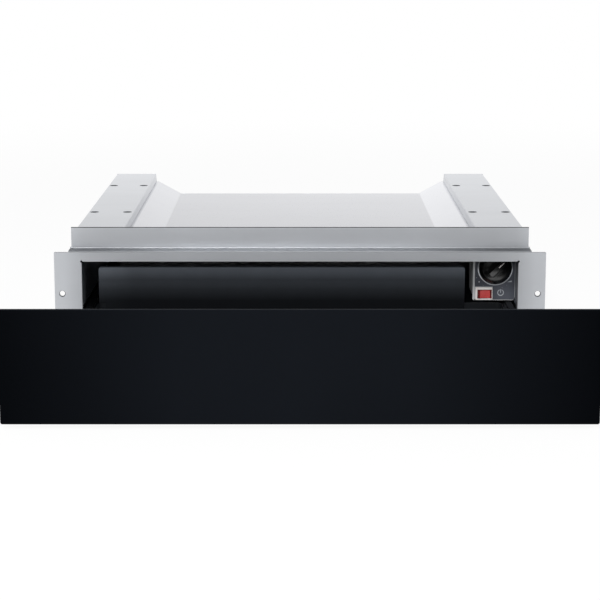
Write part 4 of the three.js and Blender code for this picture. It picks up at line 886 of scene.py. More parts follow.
def countersunk(
    sheet: bpy.types.Object, axis: Axis, mouth: Point, radius: float, sink: float
) -> None:
    """Cuts the countersink of a hole into a sheet.

    Args:
        sheet: The sheet, which has the hole.
        axis: The hole's axis; its mouth faces up, or to -Y.
        mouth: The cone's middle, in millimetres.
        radius: The hole's radius, in millimetres.
        sink: The cone's depth, by which its mouth is wider too, in millimetres.
    """
    clear_selection()
    bpy.ops.mesh.primitive_cone_add(
        vertices=40,
        radius1=radius * MM,
        radius2=(radius + sink) * MM,
        depth=sink * MM,
        location=[value * MM for value in mouth],
        rotation=axis.value,
    )
    combined(sheet, bpy.context.object)


def rimmed(sheet: bpy.types.Object, inside: Callable[[Vector], bool]) -> None:
    """Gives the countersinks of a finished sheet a dark surface, as painted shade in the holes.

    Args:
        sheet: The sheet.
        inside: Told a face's middle, in millimetres; true for a countersink's faces.
    """
    sheet.data.materials.append(HOLE_RIM_SHADE.material())
    for face in sheet.data.polygons:
        face.material_index = int(inside(face.center / MM))


def turned_about_z(piece: bpy.types.Object, degrees: float) -> bpy.types.Object:
    """Turns a piece that is still round the origin about Z, by so many degrees."""
    piece.rotation_euler = (0.0, 0.0, math.radians(degrees))
    return settle(piece)


# ---------------------------------------------------------------- sub-assemblies


@dataclass
class Housing:
    """The sheet-metal housing: walls, rails, recessed top, front frame and back wall."""

    half_width: float = 270.0
    back: float = 260.0
    rail_top: float = 134.0
    lip_level: float = 122.2
    lip_clearance: float = 1.0
    lip_cut: float = 8.0
    ear_front: float = -260.0
    ear_hole_x: float = 286.8
    ear_hole_z: float = 55.8
    ear_hole_radius: float = 3.2
    ear_sink: float = 0.8
    ear_rim_depth: float = 2.0
    frame_edge: float = 0.28
    panel_edge: float = 0.2
    wall_edge: float = 0.25
    hole_columns: tuple[float, ...] = (262.0, 220.0)
    hole_rows: tuple[float, ...] = (-117.0, 132.0)
    hole_radius: float = 4.7
    sink: float = 1.2
    rim_depth: float = 3.0
    rivet_radius: float = 2.4
    rivet_height: float = 1.0
    screw_radius: float = 3.6
    screw_height: float = 1.9
    side_rivet_levels: tuple[float, ...] = (12.0, 116.0)
    side_rivet_rows: tuple[float, ...] = (-205.0, -70.0, 70.0, 205.0)
    back_screw_levels: tuple[float, ...] = (14.0, 62.0, 124.0)
    back_screw_inset: float = 8.0
    foot_screw: tuple[float, float] = (60.0, 10.0)
    louvre_pitch: float = 11.0
    louvre_groups: tuple[float, ...] = (-125.0, 125.0)
    louvre_count: int = 7
    louvre_foot: float = 32.0
    louvre_height: float = 34.0
    hood_width: float = 5.0
    hood_rise: float = 2.4
    hood_foot: float = 0.3
    hood_sheet: float = 0.45
    hood_overlap: float = 1.0
    hood_hollow: float = 0.7
    hood_taper: Point = (1.0, 0.35, 0.98)
    hood_edge: float = 0.35
    facing_inset: float = 0.3
    facing_thickness: float = 0.15
    facing_sink: float = 0.1

    def sheets(self) -> None:
        """Softened sheets in their solids' shapes."""
        self.front_frame()
        top = softened_node("top_panel", "top_panel_sheet", self.panel_edge)
        self.clearances(top)
        finished(top, BRIGHT, Body.HOUSING, ("top_panel",))
        rear = softened_node("rear_panel", "rear_panel_sheet", self.panel_edge)
        finished(rear, GALVANISED, Body.HOUSING, ("rear_panel",))
        for word, side in (("left", -1), ("right", 1)):
            self.wall(word, side)
        dressed("base_pan", GALVANISED)
        dressed("rear_partition", GALVANISED)
        dressed("cavity_liner", LINER_ENAMEL)
        dressed("base_insulation", GLASS_WOOL)
        self.facing()

    def front_frame(self) -> None:
        """The bent front frame, with the screw holes of its ears countersunk and painted dark as shade."""
        frame_sheet = softened_node("front_frame", "front_frame_sheet", self.frame_edge)
        radius, sink = self.ear_hole_radius, self.ear_sink
        level = self.ear_front + CONE_SHIFT * sink
        for side in (-1, 1):
            mouth = (side * self.ear_hole_x, level, self.ear_hole_z)
            countersunk(frame_sheet, Axis.Y, mouth, radius, sink)
        finished(frame_sheet, FRAME_SHEET, Body.HOUSING, ("front_frame",))
        hole = Vector((self.ear_hole_x, self.ear_hole_z))
        back = self.ear_front + self.ear_rim_depth

        def inside(middle: Vector) -> bool:
            """Whether a face's middle lies in an ear's countersink."""
            off = (Vector((abs(middle.x), middle.z)) - hole).length
            return off < radius + sink and middle.y < back

        rimmed(frame_sheet, inside)

    def facing(self) -> None:
        """Dark tissue that faces the insulation under the heated space."""
        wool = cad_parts["base_insulation"]
        places = [wool.matrix_world @ vertex.co / MM for vertex in wool.data.vertices]
        low = [min(place[axis] for place in places) for axis in range(3)]
        high = [max(place[axis] for place in places) for axis in range(3)]
        inset = self.facing_inset
        sheet = slab(
            "insulation_facing",
            (low[0] + inset, low[1] + inset, high[2] - self.facing_sink),
            (high[0] - inset, high[1] - inset, high[2] + self.facing_thickness),
        )
        finished(sheet, WOOL_FACING, Body.HOUSING)

    def clearances(self, panel: bpy.types.Object) -> None:
        """Cuts the top sheet's lips free under the rails' inner holes.

        Args:
            panel: The top sheet.
        """
        inner, radius = min(self.hole_columns), self.hole_radius + self.lip_clearance
        for side in (-1, 1):
            for row in self.hole_rows:
                place = (side * inner, row, self.lip_level)
                combined(panel, drum("clearance", Axis.Z, place, radius, self.lip_cut, 40))

    def wall(self, word: str, side: int) -> None:
        """A side wall with its rail, whose mounting holes are countersunk and painted dark as shade.

        Args:
            word: left or right.
            side: -1 for the left, 1 for the right.
        """
        node = f"{word}_side_panel"
        sheet = softened_node(node, f"{node}_sheet", self.wall_edge)
        holes = [Vector((side * x, y)) for x in self.hole_columns for y in self.hole_rows]
        level = self.rail_top - CONE_SHIFT * self.sink
        for hole in holes:
            mouth = (hole.x, hole.y, level)
            countersunk(sheet, Axis.Z, mouth, self.hole_radius, self.sink)
        finished(sheet, GALVANISED, Body.HOUSING, (node,))
        reach, foot = self.hole_radius + self.sink, self.rail_top - self.rim_depth

        def inside(middle: Vector) -> bool:
            """Whether a face's middle lies in a rail hole's countersink."""
            near = any((middle.to_2d() - hole).length < reach for hole in holes)
            return near and middle.z > foot

        rimmed(sheet, inside)

    def fixings(self) -> None:
        """Rivets in the side walls and screws round the back wall."""
        for word, side in (("left", -1), ("right", 1)):
            rivet = turned_about_z(pop_rivet(self.rivet_radius, self.rivet_height), 90.0 * side)
            places = [
                (side * self.half_width, y, z)
                for y in self.side_rivet_rows
                for z in self.side_rivet_levels
            ]
            piece = copied(f"{word}_wall_rivets", rivet, places)
            finished(piece, ZINC, Body.HOUSING)
        screw = turned_about_z(screw_head(self.screw_radius, self.screw_height), 180.0)
        across = self.half_width - self.back_screw_inset
        places = [(side * across, self.back, z) for side in (-1, 1) for z in self.back_screw_levels]
        across, level = self.foot_screw
        places += [(side * across, self.back, level) for side in (-1, 1)]
        finished(copied("back_wall_screws", screw, places), ZINC, Body.HOUSING)

    def louvres(self) -> None:
        """Pressed hoods over the back wall's slots, open to their right."""
        width, rise = self.hood_width, self.hood_rise
        half = self.louvre_height / 2 + self.hood_overlap
        hood = slab("hood", (-width / 2, 0.0, -half), (width / 2, rise, half))
        with editing(hood):
            pick(Pick.VERT, lambda c, _n: c.x < 0 and c.y > rise / 2)
            bpy.ops.transform.translate(value=(0.0, (self.hood_foot - rise) * MM, 0.0))
            pick(Pick.FACE, lambda _c, n: n.x > FACING)
            bpy.ops.mesh.inset(thickness=self.hood_sheet * MM)
            inward = (-width * self.hood_hollow * MM, 0.0, 0.0)
            bpy.ops.mesh.extrude_region_move(TRANSFORM_OT_translate={"value": inward})
            bpy.ops.transform.resize(value=self.hood_taper, center_override=(0.0, 0.0, 0.0))
        softened(hood, self.hood_edge, 3, SHARP)
        middle = self.louvre_foot + self.louvre_height / 2
        start = -(self.louvre_count - 1) / 2
        places = [
            (group + (start + i) * self.louvre_pitch, self.back, middle)
            for group in self.louvre_groups
            for i in range(self.louvre_count)
        ]
        finished(copied("louvre_hoods", hood, places), GALVANISED, Body.HOUSING)

    def build(self) -> None:
        """Makes the whole housing."""
        self.sheets()
        self.fixings()
        self.louvres()


@dataclass
class ControlPanel:
    """The control box at the opening's right: case, label, dial, knob and switch."""

    left: float = 215.8
    right: float = 266.0
    bottom: float = 36.5
    top: float = 100.3
    label_front: float = -203.6
    label_margin: float = 0.5
    label_foot: float = 1.0
    label_thickness: float = 0.5
    label_corner: float = 1.2
    shaft_radius: float = 5.0
    cut_width: float = 22.6
    cut_height: float = 17.1
    lip_left: float = 213.7
    lip_front: float = -203.75
    lip_depth: float = 3.5
    lip_corner: float = 1.8
    lip_edge: float = 0.8
    lip_overlap: float = 0.4
    lip_inset: float = 0.1
    case_edge: float = 0.5
    dial_edge: float = 0.12
    label_edge: float = 0.1
    shaft_cut: float = 4.0
    cut_depth: float = 2.0
    knob_x: float = 241.2
    knob_z: float = 77.2
    knob_foot: float = -204.7
    knob_radius: float = 19.5
    skirt: float = 5.0
    knob_height: float = 17.0
    knob_turn: float = 45.0
    knob_rim: float = 1.6
    skirt_slope: float = 0.84
    face_border: float = 0.9
    dish: tuple[tuple[float, float], ...] = ((0.98, 1.5), (0.8, 0.75), (0.7, 0.35), (0.5, 0.1))
    grip_foot: float = 11.0
    grip_crest: float = 7.6
    grip_tail: float = 12.5
    grip_nose: float = 16.5
    grip_sole: float = -2.2
    grip_taper: float = 0.86
    rim_round: float = 1.2
    rim_reach: float = 0.85
    skirt_round: float = 0.3
    grip_corner: float = 0.95
    pointer_corner: float = 0.6
    bore_middle: float = -6.0
    bore_radius: float = 3.4
    bore_length: float = 12.4
    scoop_depth: float = 1.7
    scoop_steps: int = 14
    pointer_start: float = 4.2
    pointer_end: float = 13.2
    pointer_width: float = 1.0
    pointer_depth: float = 2.2
    pointer_sink: float = 0.05
    groove_gap: float = 0.1
    switch_x: float = 227.7
    bezel_low: Point = (217.4, -205.1, 37.4)
    bezel_high: Point = (238.2, -203.3, 52.8)
    bezel_corner: float = 1.5
    bezel_edge: float = 0.3
    pocket_margin: float = 0.05
    body_low: Point = (218.4, -204.3, 38.4)
    body_high: Point = (237.0, -183.3, 51.8)
    window_low: Point = (219.5, -205.1, 38.95)
    window_high: Point = (237.4, -203.6, 50.2)
    bezel_roll: float = 0.35
    pocket_right: float = 236.6
    pocket_back: float = -199.3
    symbol_x: float = 248.4
    symbol_z: float = 46.2
    symbol_radius: float = 4.0
    ring_radius: float = 21.7
    ring_line: float = 1.1
    ring_front: float = -204.2
    dots: tuple[tuple[float, float], ...] = (
        (221.6, 0.8), (208.0, 0.3), (236.0, 0.3), (250.0, 0.3), (290.0, 0.3), (304.0, 0.3)
    )
    dot_reach: float = 26.3
    wedge_place: tuple[float, float] = (15.6, -17.8)
    wedge_length: float = 5.0
    wedge_rise: float = 2.0
    wedge_tip: float = 0.3
    symbol_line: float = 0.9
    symbol_gap: float = 1.3
    bar_drop: float = 0.2
    bar_rise: float = 0.3
    ink: float = 0.06
    rocker_half: float = 8.0
    rocker_tall: float = 10.5
    rocker_proud: float = 2.6
    rocker_sole: float = 3.8
    rocker_dish: float = 1.4
    rocker_crease: float = 4.0
    rocker_waist: float = 0.5
    rocker_edge: float = 0.5
    rocker_throw: float = 7.0
    rocker_pivot: float = -203.9

    def case(self) -> None:
        """Softened case with its lip and dial base, and the dressed solids behind them."""
        case = softened_node("control_box", "control_case", self.case_edge, 3)
        finished(case, PALE_CASE, Body.HOUSING, ("control_box",))
        lip = slab(
            "case_lip",
            (self.lip_left, self.lip_front, self.bottom + self.lip_inset),
            (
                self.left + self.lip_overlap,
                self.lip_front + self.lip_depth,
                self.top - self.lip_inset,
            ),
        )
        low, out = self.bottom + 1, self.left - 1
        rounded(lip, lambda c, d: c.z < low and c.x < out and abs(d.y) > FACING, self.lip_corner, 5)
        softened(lip, self.lip_edge, 4)
        finished(lip, PALE_CASE, Body.HOUSING)
        ring = softened_node("dial_ring", "dial_ring_base", self.dial_edge)
        finished(ring, BLACK_PLASTIC, Body.HOUSING, ("dial_ring",))
        dressed("thermostat", ZINC)
        dressed("capillary_sensor", ZINC)
        dressed("wiring_loom", BLACK_PLASTIC)

    def switch(self) -> None:
        """Switch body whose bezel frames a pocket, its walls painted dark red as shade."""
        low, high, back = self.window_low, self.window_high, self.pocket_back
        piece = slab("switch_body", self.bezel_low, self.bezel_high)
        rounded(piece, along(Axis.Y), self.bezel_corner, 6)
        combined(piece, slab("shell", self.body_low, self.body_high), "UNION")
        combined(piece, slab("window", (low[0], low[1] - BEYOND, low[2]), high))
        combined(piece, slab("pocket", low, (self.pocket_right, back, high[2])))
        softened(piece, self.bezel_edge, 3, SHARP)
        finished(piece, WHITE_BEZEL, Body.HOUSING, ("power_switch",))
        # Painted shade: the pocket's faces take the dark red finish.
        piece.data.materials.append(POCKET_PAINTED_SHADE.material())
        deep = (high[0], back, high[2])
        edge = self.pocket_margin
        for face in piece.data.polygons:
            middle = face.center / MM
            inside = all(a - edge < at < b + edge for a, at, b in zip(low, middle, deep))
            face.material_index = int(inside and middle.y > low[1] + self.bezel_roll)

    def label(self) -> None:
        """Printed film, cut back round the switch."""
        edge = self.label_margin
        film = slab(
            "label_film",
            (self.left + edge, self.label_front, self.bottom + self.label_foot),
            (self.right - edge, self.label_front + self.label_thickness, self.top - edge),
        )
        rounded(film, along(Axis.Y), self.label_corner, 5)
        notch = slab(
            "notch",
            (self.left - BEYOND, self.label_front - BEYOND, self.bottom - BEYOND),
            (
                self.left + self.cut_width,
                self.label_front + self.cut_depth,
                self.bottom + self.cut_height,
            ),
        )
        combined(film, notch)
        hub = (self.knob_x, self.label_front, self.knob_z)
        combined(film, drum("shaft", Axis.Y, hub, self.shaft_radius, self.shaft_cut))
        softened(film, self.label_edge, 2, SHARP)
        finished(film, LABEL_FILM, Body.HOUSING, ("control_label",))

    def symbols(self) -> None:
        """Printed power sign, dial line, scale dots and scale wedge, as thin raised ink."""
        front = self.label_front - self.ink
        middle = front + self.ink / 2
        marks = self.power_sign(front)
        hub = (self.knob_x, self.ring_front - self.ink / 2, self.knob_z)
        marks.append(self.hoop("dial_line", hub, self.ring_radius, self.ring_line, 96))
        for degrees, radius in self.dots:
            turn = math.radians(degrees)
            x = self.knob_x + self.dot_reach * math.cos(turn)
            z = self.knob_z + self.dot_reach * math.sin(turn)
            marks.append(drum("dot", Axis.Y, (x, middle, z), radius, self.ink, 20))
        x, z = self.knob_x + self.wedge_place[0], self.knob_z + self.wedge_place[1]
        far = (x + self.wedge_length, front + self.ink, z + self.wedge_rise)
        wedge = slab("wedge", (x, front, z), far)
        with editing(wedge):
            pick(Pick.VERT, lambda c, _n: c.x < x + 1 and c.z > z + 1)
            drop = self.wedge_tip - self.wedge_rise
            bpy.ops.transform.translate(value=(0.0, 0.0, drop * MM))
        marks.append(wedge)
        finished(merged("label_print", marks), PRINT_INK, Body.HOUSING)

    def hoop(
        self, name: str, middle: Point, radius: float, line: float, sides: int
    ) -> bpy.types.Object:
        """A printed ring, given its middle, outer radius, line width and facets."""
        ring = drum(name, Axis.Y, middle, radius, self.ink, sides)
        return combined(ring, drum("inner", Axis.Y, middle, radius - line, BEYOND, sides))

    def power_sign(self, front: float) -> list[bpy.types.Object]:
        """The power sign's open ring and its bar.

        Args:
            front: The ink's front, in millimetres.

        Returns:
            Both pieces.
        """
        x, z, line = self.symbol_x, self.symbol_z, self.symbol_line
        crest = z + self.symbol_radius
        middle = (x, front + self.ink / 2, z)
        ring = self.hoop("power_sign", middle, self.symbol_radius, line, 64)
        gap = line * self.symbol_gap
        far = (x + gap, front + BEYOND, crest + BEYOND)
        combined(ring, slab("gap", (x - gap, front - BEYOND, z), far))
        low = (x - line / 2, front, z - self.bar_drop)
        bar = slab("bar", low, (x + line / 2, front + self.ink, crest + self.bar_rise))
        return [ring, bar]

    def scooped(self, piece: bpy.types.Object, sink: float = 0.0) -> None:
        """Hollows the crest of the grip, or of the pointer in it, along its length.

        Args:
            piece: The grip or the pointer, turned upright.
            sink: How far its crest goes below the grip's, in millimetres.
        """
        top, middle = -self.knob_height, (self.grip_nose - self.grip_tail) / 2
        span = (self.grip_nose + self.grip_tail) / 2
        steps = [middle + span * (2 * i / self.scoop_steps - 1) for i in range(1, self.scoop_steps)]
        with editing(piece):
            for step in steps:
                bpy.ops.mesh.select_all(action="SELECT")
                bpy.ops.mesh.bisect(plane_co=(0.0, 0.0, step * MM), plane_no=(0.0, 0.0, 1.0))
            for level in self.crest_levels(piece):
                depth = sink + self.scoop_depth * max(0.0, 1 - ((level - middle) / span) ** 2)
                pick(Pick.VERT, lambda c, _n: c.y < top + TOUCH and abs(c.z - level) < FINE_TOUCH)
                bpy.ops.transform.translate(value=(0.0, depth * MM, 0.0))

    def crest_levels(self, piece: bpy.types.Object) -> list[float]:
        """The places along the edited piece at which its crest has points.

        Args:
            piece: The grip or the pointer.

        Returns:
            Millimetres from the knob's middle, rising.
        """
        mesh = bmesh.from_edit_mesh(piece.data)
        crest = [v.co / MM for v in mesh.verts if v.co.y / MM < -self.knob_height + TOUCH]
        return sorted({round(place.z, 3) for place in crest})

    def on_rim(self, middle: Vector, direction: Vector) -> bool:
        """Whether an edge of the grip runs round its crest.

        Args:
            middle: The edge's middle, in millimetres.
            direction: The edge's direction.

        Returns:
            True for the rim's edges.
        """
        across = abs(middle.x) < 0.05 and abs(direction.x) > 0.99
        tail, nose = -self.rim_reach * self.grip_tail, self.rim_reach * self.grip_nose
        ends = middle.z < tail or middle.z > nose
        crest = middle.y < -self.knob_height + self.scoop_depth + LOOSE
        return crest and abs(direction.y) < 0.3 and (ends or not across)

    def knob(self) -> None:
        """Sloping skirt round a dished face, a tapered grip with round ends, and its pointer."""
        radius, rim, top = self.knob_radius, self.knob_rim, -self.knob_height
        knob = drum("knob", Axis.Y, (0.0, -rim / 2, 0.0), radius, rim, 96)
        with editing(knob):
            pick(Pick.FACE, lambda _c, n: n.y < -FACING)
            centre = {"center_override": (0.0, 0.0, 0.0)}
            outward = (0.0, (rim - self.skirt) * MM, 0.0)
            bpy.ops.mesh.extrude_region_move(TRANSFORM_OT_translate={"value": outward})
            bpy.ops.transform.resize(value=(self.skirt_slope, 1.0, self.skirt_slope), **centre)
            bpy.ops.mesh.inset(thickness=self.face_border * MM)
            for ring, sink in self.dish:
                inward = (0.0, sink * MM, 0.0)
                bpy.ops.mesh.extrude_region_move(TRANSFORM_OT_translate={"value": inward})
                bpy.ops.transform.resize(value=(ring, 1.0, ring), **centre)
        rounded(knob, round_end(-self.skirt), self.skirt_round, 3)
        foot, crest = self.grip_foot / 2, self.grip_crest / 2
        grip = slab("grip", (-foot, top, -self.grip_tail), (foot, self.grip_sole, self.grip_nose))
        with editing(grip):
            pick(Pick.FACE, lambda _c, n: n.y < -FACING)
            bpy.ops.transform.resize(value=(crest / foot, 1.0, self.grip_taper), **centre)
        rounded(grip, lambda _c, d: abs(d.y) > 0.6, crest * self.grip_corner, 10)
        self.scooped(grip)
        rounded(grip, self.on_rim, self.rim_round, 5)
        combined(knob, grip, "UNION")
        hole = drum("bore", Axis.Y, (0.0, self.bore_middle, 0.0), self.bore_radius, self.bore_length, 32)
        combined(knob, hole)
        low, high, half = self.pointer_start, self.pointer_end, self.pointer_width / 2
        side, sole = half + self.groove_gap, top + self.pointer_depth
        ends = (low - self.groove_gap, high + self.groove_gap)
        combined(knob, slab("groove", (-side, top - BEYOND, ends[0]), (side, sole, ends[1])))
        pointer = slab("knob_pointer", (-half, top, low), (half, sole, high))
        rounded(pointer, along(Axis.Y), half * self.pointer_corner, 3)
        self.scooped(pointer, self.pointer_sink)
        for piece, finish, replaced in (
            (knob, KNOB_PLASTIC, ("thermostat_knob",)),
            (pointer, WHITE_BEZEL, ()),
        ):
            piece.rotation_euler = (0.0, math.radians(self.knob_turn), 0.0)
            settle(piece)
            piece.location = (self.knob_x * MM, self.knob_foot * MM, self.knob_z * MM)
            finished(piece, finish, Body.KNOB, replaced)

    def rocker(self) -> None:
        """Dished red rocker, tipped to one side."""
        half, tall, proud = self.rocker_half, self.rocker_tall / 2, self.rocker_proud
        key = slab("rocker_key", (-half, -proud, -tall), (half, self.rocker_sole, tall))
        with editing(key):
            bpy.ops.mesh.select_all(action="SELECT")
            bpy.ops.mesh.bisect(plane_co=(0.0, 0.0, 0.0), plane_no=(1.0, 0.0, 0.0))
            pick(Pick.VERT, lambda c, _n: abs(c.x) < TOUCH and c.y < 0)
            bpy.ops.transform.translate(value=(0.0, self.rocker_dish * MM, 0.0))
            pick(Pick.VERT, lambda c, _n: abs(c.x) > half - LOOSE and c.y > 0)
            waist = (self.rocker_waist, 1.0, 1.0)
            bpy.ops.transform.resize(value=waist, center_override=(0.0, 0.0, 0.0))
        crease = self.rocker_crease
        rounded(key, lambda c, d: abs(c.x) < TOUCH and c.y < 0 and abs(d.z) > FACING, crease, 10)
        softened(key, self.rocker_edge, 3)
        turned_about_z(key, self.rocker_throw)
        middle = (self.window_low[2] + self.window_high[2]) / 2
        key.location = (self.switch_x * MM, self.rocker_pivot * MM, middle * MM)
        finished(key, RED_PLASTIC, Body.ROCKER, ("power_rocker",))

    def build(self) -> None:
        """Makes the control panel."""
        self.case()
        self.switch()
        self.label()
        self.symbols()
        self.knob()
        self.rocker()


@dataclass
class FrontPanel:
    """The black glass front with its carrier and the gussets that tie it to the tray."""

    half_width: float = 297.5
    foot: float = 5.0
    top: float = 121.3
    front: float = -674.0
    glass: float = 4.5
    corner: float = 2.2
    edge: float = 0.7
    carrier_edge: float = 0.3
    screw_radius: float = 3.4
    screw_height: float = 1.8
    screw_across: float = 240.5
    screw_seat: float = -652.2
    screw_levels: tuple[float, ...] = (48.0, 80.0)

    def pane(self) -> None:
        """Glass sheet with rounded corners and ground edges."""
        sheet = slab(
            "front_glass_pane",
            (-self.half_width, self.front, self.foot),
            (self.half_width, self.front + self.glass, self.top),
        )
        rounded(sheet, along(Axis.Y), self.corner, 8)
        softened(sheet, self.edge, 4, SHARP)
        finished(sheet, BLACK_GLASS, Body.DRAWER, ("front_glass",))
        sheet.data.materials.append(GROUND_EDGE.material())
        for face in sheet.data.polygons:
            face.material_index = int(abs(face.normal.y) < FACING)

    def carrier(self) -> None:
        """Folded carrier behind the glass, with the gussets and their screws."""
        carrier = softened_node("front_carrier", "carrier_sheet", self.carrier_edge)
        finished(carrier, BLACK_ENAMEL, Body.DRAWER, ("front_carrier",))
        for side in ("left", "right"):
            node = f"{side}_front_gusset"
            finished(softened_node(node, f"{side}_gusset_plate"), ZINC, Body.DRAWER, (node,))
        screw = turned_about_z(screw_head(self.screw_radius, self.screw_height), 180.0)
        across, seat = self.screw_across, self.screw_seat
        places = [(side * across, seat, z) for side in (-1, 1) for z in self.screw_levels]
        finished(copied("gusset_screws", screw, places), ZINC, Body.DRAWER)

    def build(self) -> None:
        """Makes the front panel."""
        self.pane()
        self.carrier()


@dataclass
class Tray:
    """The drawer's tray: pan, high back, ribbed mat and side rivets."""

    half_width: float = 249.3
    wall: float = 1.0
    edge: float = 0.3
    mat_low: Point = (-243.0, -648.7, 12.1)
    mat_high: Point = (243.0, -217.0, 13.4)
    mat_corner: float = 8.0
    rib_pitch: float = 9.0
    rib_width: float = 4.0
    rib_rise: float = 0.7
    rib_sink: float = 0.2
    rib_round: float = 0.7
    rib_margin: float = 10.0
    rivet_rows: tuple[float, ...] = (-600.0, -470.0, -340.0, -240.0)
    rivet_level: float = 21.5
    rivet_radius: float = 2.4
    rivet_height: float = 0.9

    def sheets(self) -> None:
        """Pan and high back in their solids' shapes, softened."""
        for node, finish in (("tray_pan", TRAY_COAT), ("tray_back_panel", BACK_COAT)):
            sheet = softened_node(node, f"{node}_sheet", self.edge, 3)
            finished(sheet, finish, Body.DRAWER, (node,))
        dressed("latch_striker", ZINC)

    def mat(self) -> None:
        """Non-slip mat with ribs across it."""
        base = slab("tray_mat_ribbed", self.mat_low, self.mat_high)
        rounded(base, along(Axis.Z), self.mat_corner, 8)
        softened(base, self.edge, 2, SHARP)
        low, high, half = self.mat_low, self.mat_high, self.rib_width / 2
        rib = slab(
            "rib",
            (low[0] + self.rib_margin, low[1] + self.rib_margin - half, high[2] - self.rib_sink),
            (high[0] - self.rib_margin, low[1] + self.rib_margin + half, high[2] + self.rib_rise),
        )
        crest_round = self.rib_rise * self.rib_round
        rounded(rib, lambda c, d: c.z > high[2] and abs(d.z) < LOOSE, crest_round, 2)
        count = int((high[1] - low[1] - 2 * self.rib_margin) / self.rib_pitch) + 1
        modified(
            rib,
            "ARRAY",
            count=count,
            use_relative_offset=False,
            use_constant_offset=True,
            constant_offset_displace=(0.0, self.rib_pitch * MM, 0.0),
        )
        finished(merged("tray_mat_ribbed", [base, rib]), MAT_RUBBER, Body.DRAWER, ("tray_mat",))

    def rivets(self) -> None:
        """Rivets that hold the slides' inner members, seen inside the tray's walls."""
        for word, side in (("left", -1), ("right", 1)):
            rivet = turned_about_z(pop_rivet(self.rivet_radius, self.rivet_height), -90.0 * side)
            inner = side * (self.half_width - self.wall)
            places = [(inner, y, self.rivet_level) for y in self.rivet_rows]
            finished(copied(f"{word}_tray_rivets", rivet, places), ZINC, Body.DRAWER)

    def build(self) -> None:
        """Makes the tray."""
        self.sheets()
        self.mat()
        self.rivets()


@dataclass
class Slides:
    """The telescopic slides at both sides."""

    edge: float = 0.15

    def build(self) -> None:
        """Softened members on their own bodies."""
        for word, middle in (("left", Body.SLIDE_LEFT), ("right", Body.SLIDE_RIGHT)):
            rows = (
                (f"{word}_slide_bracket", Body.HOUSING),
                (f"{word}_slide_outer", Body.HOUSING),
                (f"{word}_slide_middle", middle),
                (f"{word}_slide_inner", Body.DRAWER),
            )
            for node, body in rows:
                piece = softened_node(node, f"{node}_rail", self.edge)
                finished(piece, SLIDE_STEEL, body, (node,))


@dataclass
class RearBay:
    """Fan, heater, latch and mains pieces in the bay behind the heated space."""

    gland_x: float = -190.0
    gland_z: float = 48.0
    flange_front: float = 260.3
    flange_back: float = 264.3
    flange_radius: float = 12.0
    flange_round: float = 1.2
    flutes: int = 12
    flute_radius: float = 1.6
    flute_inset: float = 0.9
    neck: tuple[float, float, float] = (256.0, 8.0, 11.0)
    nut: tuple[float, float] = (256.7, 4.0)
    bore: float = 4.0
    bore_length: float = 40.0
    finishes: dict[str, Finish] = field(
        default_factory=lambda: {
            "fan_scroll": ZINC,
            "fan_impeller": FAN_ALLOY,
            "fan_motor": MOTOR_STEEL,
            "fan_bearing": ZINC,
            "heating_element": ELEMENT_SHEATH,
            "element_clip": ZINC,
            "safety_cutout": BLACK_PLASTIC,
            "terminal_block": CERAMIC,
            "latch_body": BLACK_PLASTIC,
            "latch_plunger": BLACK_PLASTIC,
        }
    )

    def gland(self) -> None:
        """Cable gland: a fluted flange outside, a neck through the wall and a nut inside."""
        middle = (self.gland_x, (self.flange_front + self.flange_back) / 2, self.gland_z)
        length = self.flange_back - self.flange_front
        piece = drum("cable_gland_nut", Axis.Y, middle, self.flange_radius, length, 72)
        rounded(piece, round_end(self.flange_back), self.flange_round, 4)
        reach = self.flange_radius + self.flute_radius - self.flute_inset
        for i in range(self.flutes):
            turn = math.tau * i / self.flutes
            x, z = self.gland_x + reach * math.cos(turn), self.gland_z + reach * math.sin(turn)
            tall = length + 2 * BEYOND
            combined(piece, drum("flute", Axis.Y, (x, middle[1], z), self.flute_radius, tall, 20))
        level, radius, length = self.neck
        neck = drum("neck", Axis.Y, (self.gland_x, level, self.gland_z), radius, length, 48)
        combined(piece, neck, "UNION")
        level, length = self.nut
        nut = drum("nut", Axis.Y, (self.gland_x, level, self.gland_z), self.flange_radius, length, 6)
        combined(piece, nut, "UNION")
        combined(piece, drum("bore", Axis.Y, middle, self.bore, self.bore_length, 32))
        finished(piece, BLACK_PLASTIC, Body.HOUSING, ("cable_gland",))

    def build(self) -> None:
        """Dresses the bay's solids and makes its small pieces."""
        for node, finish in self.finishes.items():
            dressed(node, finish)
        self.gland()


# ---------------------------------------------------------------- studio


@dataclass(frozen=True)
class Lamp:
    """A soft square lamp aimed at the object.

    Args:
        name: The lamp's name.
        place: Where it stands, in metres.
        size: Its side, in metres.
        power: In watts.
        mirrored: Whether glossy surfaces show it.
    """

    name: str
    place: Point
    size: float
    power: float
    mirrored: bool = False


